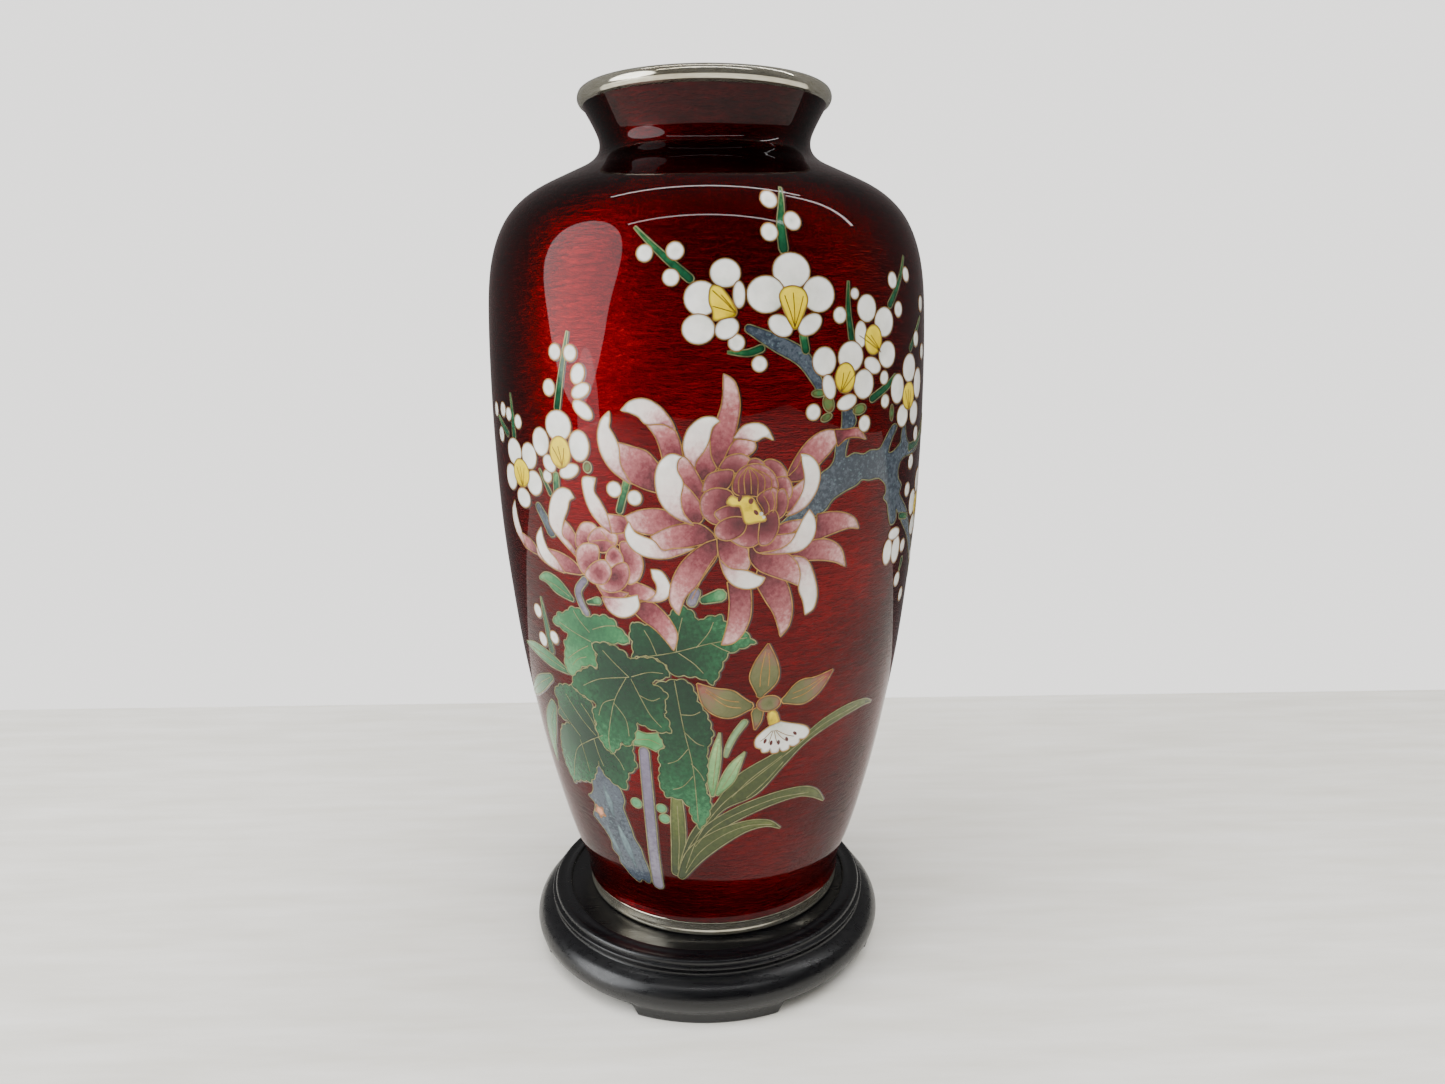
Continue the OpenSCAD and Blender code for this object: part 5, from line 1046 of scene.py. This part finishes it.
# Each piece of enamel: material, cloudiness, slot, the CAD nodes it stands for, colours from root to tip.
ENAMELS = {
    "white": ("white_glass", 0.1, "white_glass", "plum_petals plum_buds orchid_lip",
              [(0, 176, 190, 168), (0.3, 222, 224, 214), (0.6, 236, 235, 228), (1, 240, 240, 236)]),
    "yellow": ("yellow_glass", 0.14, "yellow_glass", "plum_hearts mum_large_heart",
               [(0, 170, 146, 18), (0.3, 222, 192, 26), (1, 240, 214, 52)]),
    "petals": ("mauve_glass", 0.14, "mauve_glass", "mum_large_petals mum_small_petals mum_small_ball",
               [(0, 72, 22, 30), (0.3, 120, 52, 60), (0.65, 164, 98, 100), (1, 212, 170, 166)]),
    "ball": ("deep_mauve_glass", 0.12, "mauve_glass", "mum_large_ball",
             [(0, 66, 20, 28), (0.45, 104, 42, 50), (0.8, 142, 78, 82), (1, 184, 130, 128)]),
    "curls": ("curl_glass", 0.12, "curl_glass", "mum_large_curls mum_small_curls",
              [(0, 160, 98, 106), (0.25, 206, 170, 168), (0.5, 230, 216, 210), (1, 236, 235, 228)]),
    "leaves": ("deep_green_glass", 0.2, "leaf_glass", "mum_leaves_dark",
               [(0, 10, 40, 24), (0.4, 14, 54, 31), (0.75, 26, 82, 48), (1, 58, 120, 76)]),
    "pale_leaves": ("pale_green_glass", 0.2, "pale_leaf_glass", "mum_leaves_pale",
                    [(0, 28, 82, 50), (0.5, 50, 112, 68), (1, 96, 152, 100)]),
    "bright_leaves": ("bright_green_glass", 0.2, "pale_leaf_glass", "", [(0, 56, 122, 70), (1, 92, 156, 98)]),
    "stem_buds": ("bud_green_glass", 0.2, "pale_leaf_glass", "mum_stem_buds",
                  [(0, 60, 120, 80), (1, 100, 160, 110)]),
    "stems": ("lilac_glass", 0.3, "stem_glass", "mum_stems",
              [(0, 120, 112, 130), (0.5, 104, 96, 116), (1, 130, 124, 138)]),
    "bark": ("bark_glass", 0.5, "bark_glass", "plum_trunk plum_branches",
             [(0, 50, 58, 68), (0.5, 80, 88, 98), (1, 58, 64, 76)]),
    "bark_patches": ("lichen_glass", 0.3, "bark_glass", "", [(0, 112, 134, 138), (1, 76, 94, 102)]),
    "knots": ("peach_glass", 0.2, "bark_glass", "", [(0, 224, 160, 120), (1, 196, 120, 90)]),
    "twigs": ("twig_glass", 0.2, "twig_glass", "plum_twigs",
              [(0, 22, 66, 44), (0.6, 34, 92, 58), (1, 90, 140, 84)]),
    "calyxes": ("calyx_glass", 0.2, "sepal_glass", "plum_sepals",
                [(0, 60, 110, 70), (0.6, 96, 110, 64), (1, 120, 84, 54)]),
    "blades": ("olive_glass", 0.2, "blade_glass", "orchid_blades",
               [(0, 44, 56, 24), (0.5, 66, 76, 34), (1, 96, 104, 52)]),
    "young_stems": ("young_stem_glass", 0.2, "pale_leaf_glass", "orchid_stem",
                    [(0, 124, 158, 110), (1, 150, 184, 134)]),
    "shoots": ("shoot_glass", 0.2, "pale_leaf_glass", "orchid_shoots",
               [(0, 90, 140, 84), (0.6, 130, 172, 112), (1, 170, 196, 130)]),
    "sepals": ("sepal_glass", 0.14, "sepal_olive_glass", "orchid_sepals",
               [(0, 82, 86, 48), (0.5, 104, 104, 66), (0.78, 126, 92, 74), (1, 146, 56, 54)]),
    "dark_drops": ("dark_drop_glass", 0.2, "mauve_glass", "", [(0, 70, 30, 30), (1, 96, 44, 40)]),
}
# Some have specks, or a rim that is less dark.
SPECIAL = {"leaves": {"speckle": lin(8, 32, 20)}, "bark": {"speckle": lin(118, 144, 146)},
           "dark_drops": {"rim": 0.9}}
# Each kind of wire: material, darker and lighter colour, the CAD nodes it stands for.
WIRES = {
    GILT: ("gilt_wire", (120, 82, 38), (180, 140, 78),
           "plum_wires mum_small_wires mum_curl_wires mum_petal_wires orchid_wires"),
    PALE: ("pale_wire", (96, 98, 62), (150, 146, 104), "leaf_wires"),
    DARK: ("dark_wire", (96, 66, 24), (140, 104, 44), ""),
}


# ---------------------------------------------------------------- cells and wires as pieces
made = []
for piece in dict.fromkeys(c["piece"] for c in cells if not c["thread"]):
    name, mottle, slot, stands_for, stops = ENAMELS[piece]
    patches = [(TRIS[OWNER == i], c) for i, c in enumerate(cells) if c["piece"] == piece]
    material = glass_cell(name, stops, mottle, **SPECIAL.get(piece, {}))
    made.append((thin_piece(piece, patches, material, "cell"), slot, stands_for))
for piece, (name, low, high, stands_for) in WIRES.items():
    ids = [WIRE_ID + i for i, c in enumerate(cells) if piece == (c["piece"] if c["thread"] else c["wire"])]
    patches = [(TRIS[np.isin(OWNER, ids)], None)]
    made.append((thin_piece(piece, patches, metal(name, low, high, body=0.7), "wire"), "wire", stands_for))
# Painted shadow: dark red strips beside the wires, on the side away from the light.
painted_shadow_piece = thin_piece("painted_shadow_strips", [(TRIS[OWNER >= PAINTED_SHADOW_ID], None)], painted_shadow_material(), "painted_shadow")
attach(painted_shadow_piece, "vase")
for ob, slot, stands_for in made:
    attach(ob, "vase")
    if stands_for:
        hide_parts(*stands_for.split())


# ---------------------------------------------------------------- turned pieces
def turned(name, outline, material, smooth_angle=60, steps=288, middle=(0, 0), lift=FOOT, arch=None):
    """A closed piece turned from an outline of (radius, height) in mm. Points on the axis become one."""
    co, faces, rings = [], [], []
    for r, z in outline:
        first = len(co)
        on_axis = r < 1e-6
        for k in range(1 if on_axis else steps):
            t = TAU * k / steps
            h = arch(r, z, 360 * k / steps) if arch else z
            place = Vector((middle[0] + r * math.cos(t), middle[1] + r * math.sin(t), h + lift))
            co.append(place * MM)
        rings.append([first] * steps if on_axis else list(range(first, len(co))))
    for a, b in zip(rings, rings[1:] + rings[:1]):
        if a[0] == a[1] and b[0] == b[1]:
            continue
        for k in range(steps):
            j = (k + 1) % steps
            faces.append(list(dict.fromkeys((a[k], a[j], b[j], b[k]))))
    ob = build_mesh(name, co, faces, material)
    ob.data.set_sharp_from_angle(angle=math.radians(smooth_angle))
    return ob


def wall(depth, low, high, gap):
    """Points of (radius, height) some mm inside the body's side."""
    z = np.append(np.arange(low, high, gap), high)
    r, s = radius(z), slope(z)
    length = np.sqrt(1 + s * s)
    return [(float(a), float(b)) for a, b in zip(r - depth / length, z + depth * s / length)]


glass = turned("red_glass", wall(0, LOW, TOP, 0.8) + wall(0.88, LOW, TOP, 1.6)[::-1], ground_glass())
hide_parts("red_ground")
inner = [(min(r, 37.8) if z < 8.5 else r, z) for r, z in wall(2.5, 7.5, 235.4, 1.2)]
lining_line = [(0, 6.9), (33, 6.9), (35.6, 7.2)] + inner
lining_line += wall(2.1, 9.0, 235.4, 1.6)[::-1] + [(35.4, 6.5), (0, 6.5)]
lining = turned("inner_glass", lining_line, counter_glass("counter_enamel", (40, 8, 12), (78, 16, 22)))
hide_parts("inner_lining")
for ob, slot in ((glass, "red_glass"), (lining, "lining_glass")):
    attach(ob, "vase")

silver = metal("nickel_silver", (176, 170, 150), (210, 206, 192), (0.06, 0.13), 300.0, (1, 1, 12), 0.03,
               (150, 138, 108), 0.88)
lip_line = catmull([(34.1, 235.6), (35.1, 236.1), (35.7, 237.5), (35.3, 239.1), (34.2, 239.95),
                    (33.2, 239.95), (31.9, 239.1), (31.6, 237.8)], 6)
lip = turned("lip_ring", [tuple(p) for p in lip_line] + [(31.6, 235.6)], silver, 50)
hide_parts("lip_band")
foot_line = catmull([(39.7, 0.02), (40.3, 0.3), (40.5, 0.9), (40.25, 2.0), (40.1, 3.0), (40.05, 3.7),
                     (40.35, 3.95), (40.6, 4.3), (40.35, 4.68), (40.1, 4.8)], 5)
foot_line = [tuple(p) for p in foot_line] + [(36.9, 4.8), (36.9, 0.5), (37.3, 0.05)]
foot = turned("foot_ring", foot_line, silver, 50)
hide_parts("foot_band")
for ob in (lip, foot):
    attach(ob, "vase")

for node, material in (
        ("copper_body", metal("copper", (150, 80, 52), (196, 122, 88), (0.3, 0.5))),
        ("silver_foil", metal("foil", (200, 200, 202), (236, 236, 238), (0.15, 0.3), 500.0, (1, 1, 4), 0.3)),
        ("base_enamel", counter_glass("base_enamel", (30, 8, 10), (56, 16, 18)))):
    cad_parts[node].data.materials.clear()
    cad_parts[node].data.materials.append(material)


# ---------------------------------------------------------------- the stand
def arched(r, z, degrees):
    """The height of a point of the stand, raised between its four feet."""
    hollow, foot_h, arch_h = 45, 4.8, 3.2
    if r <= hollow or z >= foot_h:
        return z
    off = abs((degrees + 22.5) % 90 - 22.5)       # from the middle of the nearest foot
    t = min(max((min(off, 90 - off) - 21.8) / 2.4, 0), 1)
    open_h = arch_h * t * t * (3 - 2 * t)
    return open_h + (foot_h - open_h) * z / foot_h


top = catmull([(44.4, 17.2), (44.75, 17.5), (45.6, 17.42), (46.6, 17.1), (47.6, 17.05), (48.5, 17.15),
               (49.2, 16.95), (49.55, 16.4), (49.6, 15.7)], 4)
bead = catmull([(49.9, 15.55), (50.45, 15.35), (50.55, 14.9), (50.3, 14.2), (50.15, 13.5), (50.35, 12.9)], 4)
ring = catmull([(50.9, 12.7), (52.0, 12.2), (53.6, 11.1), (54.9, 9.4), (55.5, 7.3), (55.1, 5.1),
                (54.2, 3.5), (53.95, 2.2), (53.7, 0.5), (53.3, 0.0)], 5)
line = [(0, 16.8), (15, 16.8), (30, 16.8), (44.0, 16.8), (44.3, 16.9)]
line += [tuple(p) for part in (top, bead, ring) for p in part]
line += [(49.8, 0.0), (46.2, 0.0), (45.9, 0.3), (45.9, 2.2), (45.9, 4.4), (30, 4.4), (0, 4.4)]
base = turned("turned_stand", line[::-1], lacquered_wood(), 42, 360, STAND_MIDDLE, 0.0, arched)
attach(base, "stand")
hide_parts("stand")


# ---------------------------------------------------------------- floor, light and camera
def floor():
    """A pale table top that ends behind the vase."""
    m = Nodes("pale_table")
    n = m.noise(16.0, 5.0, 0.6, stretch=(1, 7, 1))
    m.set(Base_Color=m.ramp(n, colours([(0.3, 230, 226, 215), (0.7, 246, 243, 236)])),
          Roughness=m.span(n, 0.3, 0.7, 0.5, 0.6))
    x, back, front, t = 1.3, 0.186, -1.6, 0.03
    co = [(-x, front, 0), (x, front, 0), (x, back, 0), (-x, back, 0)]
    co += [(a, b, -t) for a, b, _ in co]
    faces = [(0, 1, 2, 3), (7, 6, 5, 4), (0, 4, 5, 1), (1, 5, 6, 2), (2, 6, 7, 3), (3, 7, 4, 0)]
    ob = build_mesh("floor", co, faces, m.mat, smooth=False)


floor()


def panel(name, azimuth, elevation, distance, width, height, power, colour=(1, 1, 1), mirrored=True,
          outline="RECTANGLE"):
    """A soft light. Azimuth 0 is in front of the vase and 90 to its right."""
    a, e = math.radians(azimuth), math.radians(elevation)
    d = Vector((math.sin(a) * math.cos(e), -math.cos(a) * math.cos(e), math.sin(e)))
    light = bpy.data.lights.new(name, "AREA")
    light.shape = outline
    light.size, light.size_y = width, height
    light.energy = power
    light.color = colour
    ob = bpy.data.objects.new(name, light)
    ob.location = Vector((0, 0, 0.15)) + d * distance
    ob.rotation_euler = d.to_track_quat("Z", "Y").to_euler()
    ob.visible_camera = False
    ob.visible_glossy = mirrored
    bpy.context.scene.collection.objects.link(ob)


DAYLIGHT = (0.96, 0.98, 1.0)
panel("window", -67, 20, 1.5, 1.2, 1.35, 27, DAYLIGHT, outline="ELLIPSE")
panel("window_low", -61, -6, 1.5, 0.34, 0.42, 1.2, DAYLIGHT, outline="ELLIPSE")
panel("strip_front", 0, 56, 1.9, 2.4, 0.04, 7)
panel("strip_top", 180, 84, 1.7, 1.8, 0.05, 6)
panel("strip_right", 92, 50, 1.6, 0.05, 0.9, 3)
panel("fill_front", 25, 30, 1.7, 1.6, 1.4, 10, mirrored=False)
panel("fill_top", 0, 80, 1.7, 2.2, 1.8, 48, mirrored=False)
panel("fill_right", 118, 8, 1.6, 1.1, 1.3, 5, mirrored=False)

# The room: bright to the eye, dim in reflections, and dimmer in front than behind.
world = bpy.data.worlds.new("studio")
world.use_nodes = True
bpy.context.scene.world = world
wt = world.node_tree
back = wt.nodes["Background"]
coord = wt.nodes.new("ShaderNodeTexCoord")
split = wt.nodes.new("ShaderNodeSeparateXYZ")
wt.links.new(coord.outputs["Generated"], split.inputs[0])
dim = wt.nodes.new("ShaderNodeMapRange")
dim.interpolation_type = "SMOOTHSTEP"
wt.links.new(split.outputs["Y"], dim.inputs["Value"])
for key, v in (("From Min", -0.75), ("From Max", 0.35), ("To Min", 0.03), ("To Max", 0.26)):
    dim.inputs[key].default_value = v
path = wt.nodes.new("ShaderNodeLightPath")
pick = wt.nodes.new("ShaderNodeMix")
pick.data_type = "FLOAT"
wt.links.new(path.outputs["Is Camera Ray"], pick.inputs[0])
wt.links.new(dim.outputs[0], pick.inputs[2])
pick.inputs[3].default_value = 2.3
wt.links.new(pick.outputs[0], back.inputs["Strength"])
back.inputs["Color"].default_value = lin(236, 234, 232)


def camera():
    """A phone's wide lens, a little above the vase's shoulder and looking down."""
    pitch, yaw, roll = (math.radians(v) for v in (12.92, 0.75, -0.52))
    ahead = Vector((math.sin(yaw) * math.cos(pitch), math.cos(yaw) * math.cos(pitch), -math.sin(pitch)))
    right = Vector((math.cos(yaw), -math.sin(yaw), 0))
    up = right.cross(ahead)
    r2 = math.cos(roll) * right + math.sin(roll) * up
    u2 = -math.sin(roll) * right + math.cos(roll) * up
    data = bpy.data.cameras.new("camera")
    data.sensor_width = 36.0
    data.lens = 24.8
    data.clip_start = 0.01
    ob = bpy.data.objects.new("camera", data)
    m = Matrix((r2, u2, -ahead)).transposed().to_4x4()
    m.translation = Vector((0, -0.3011, 0.1961))
    ob.matrix_world = m
    bpy.context.scene.collection.objects.link(ob)
    bpy.context.scene.camera = ob


camera()
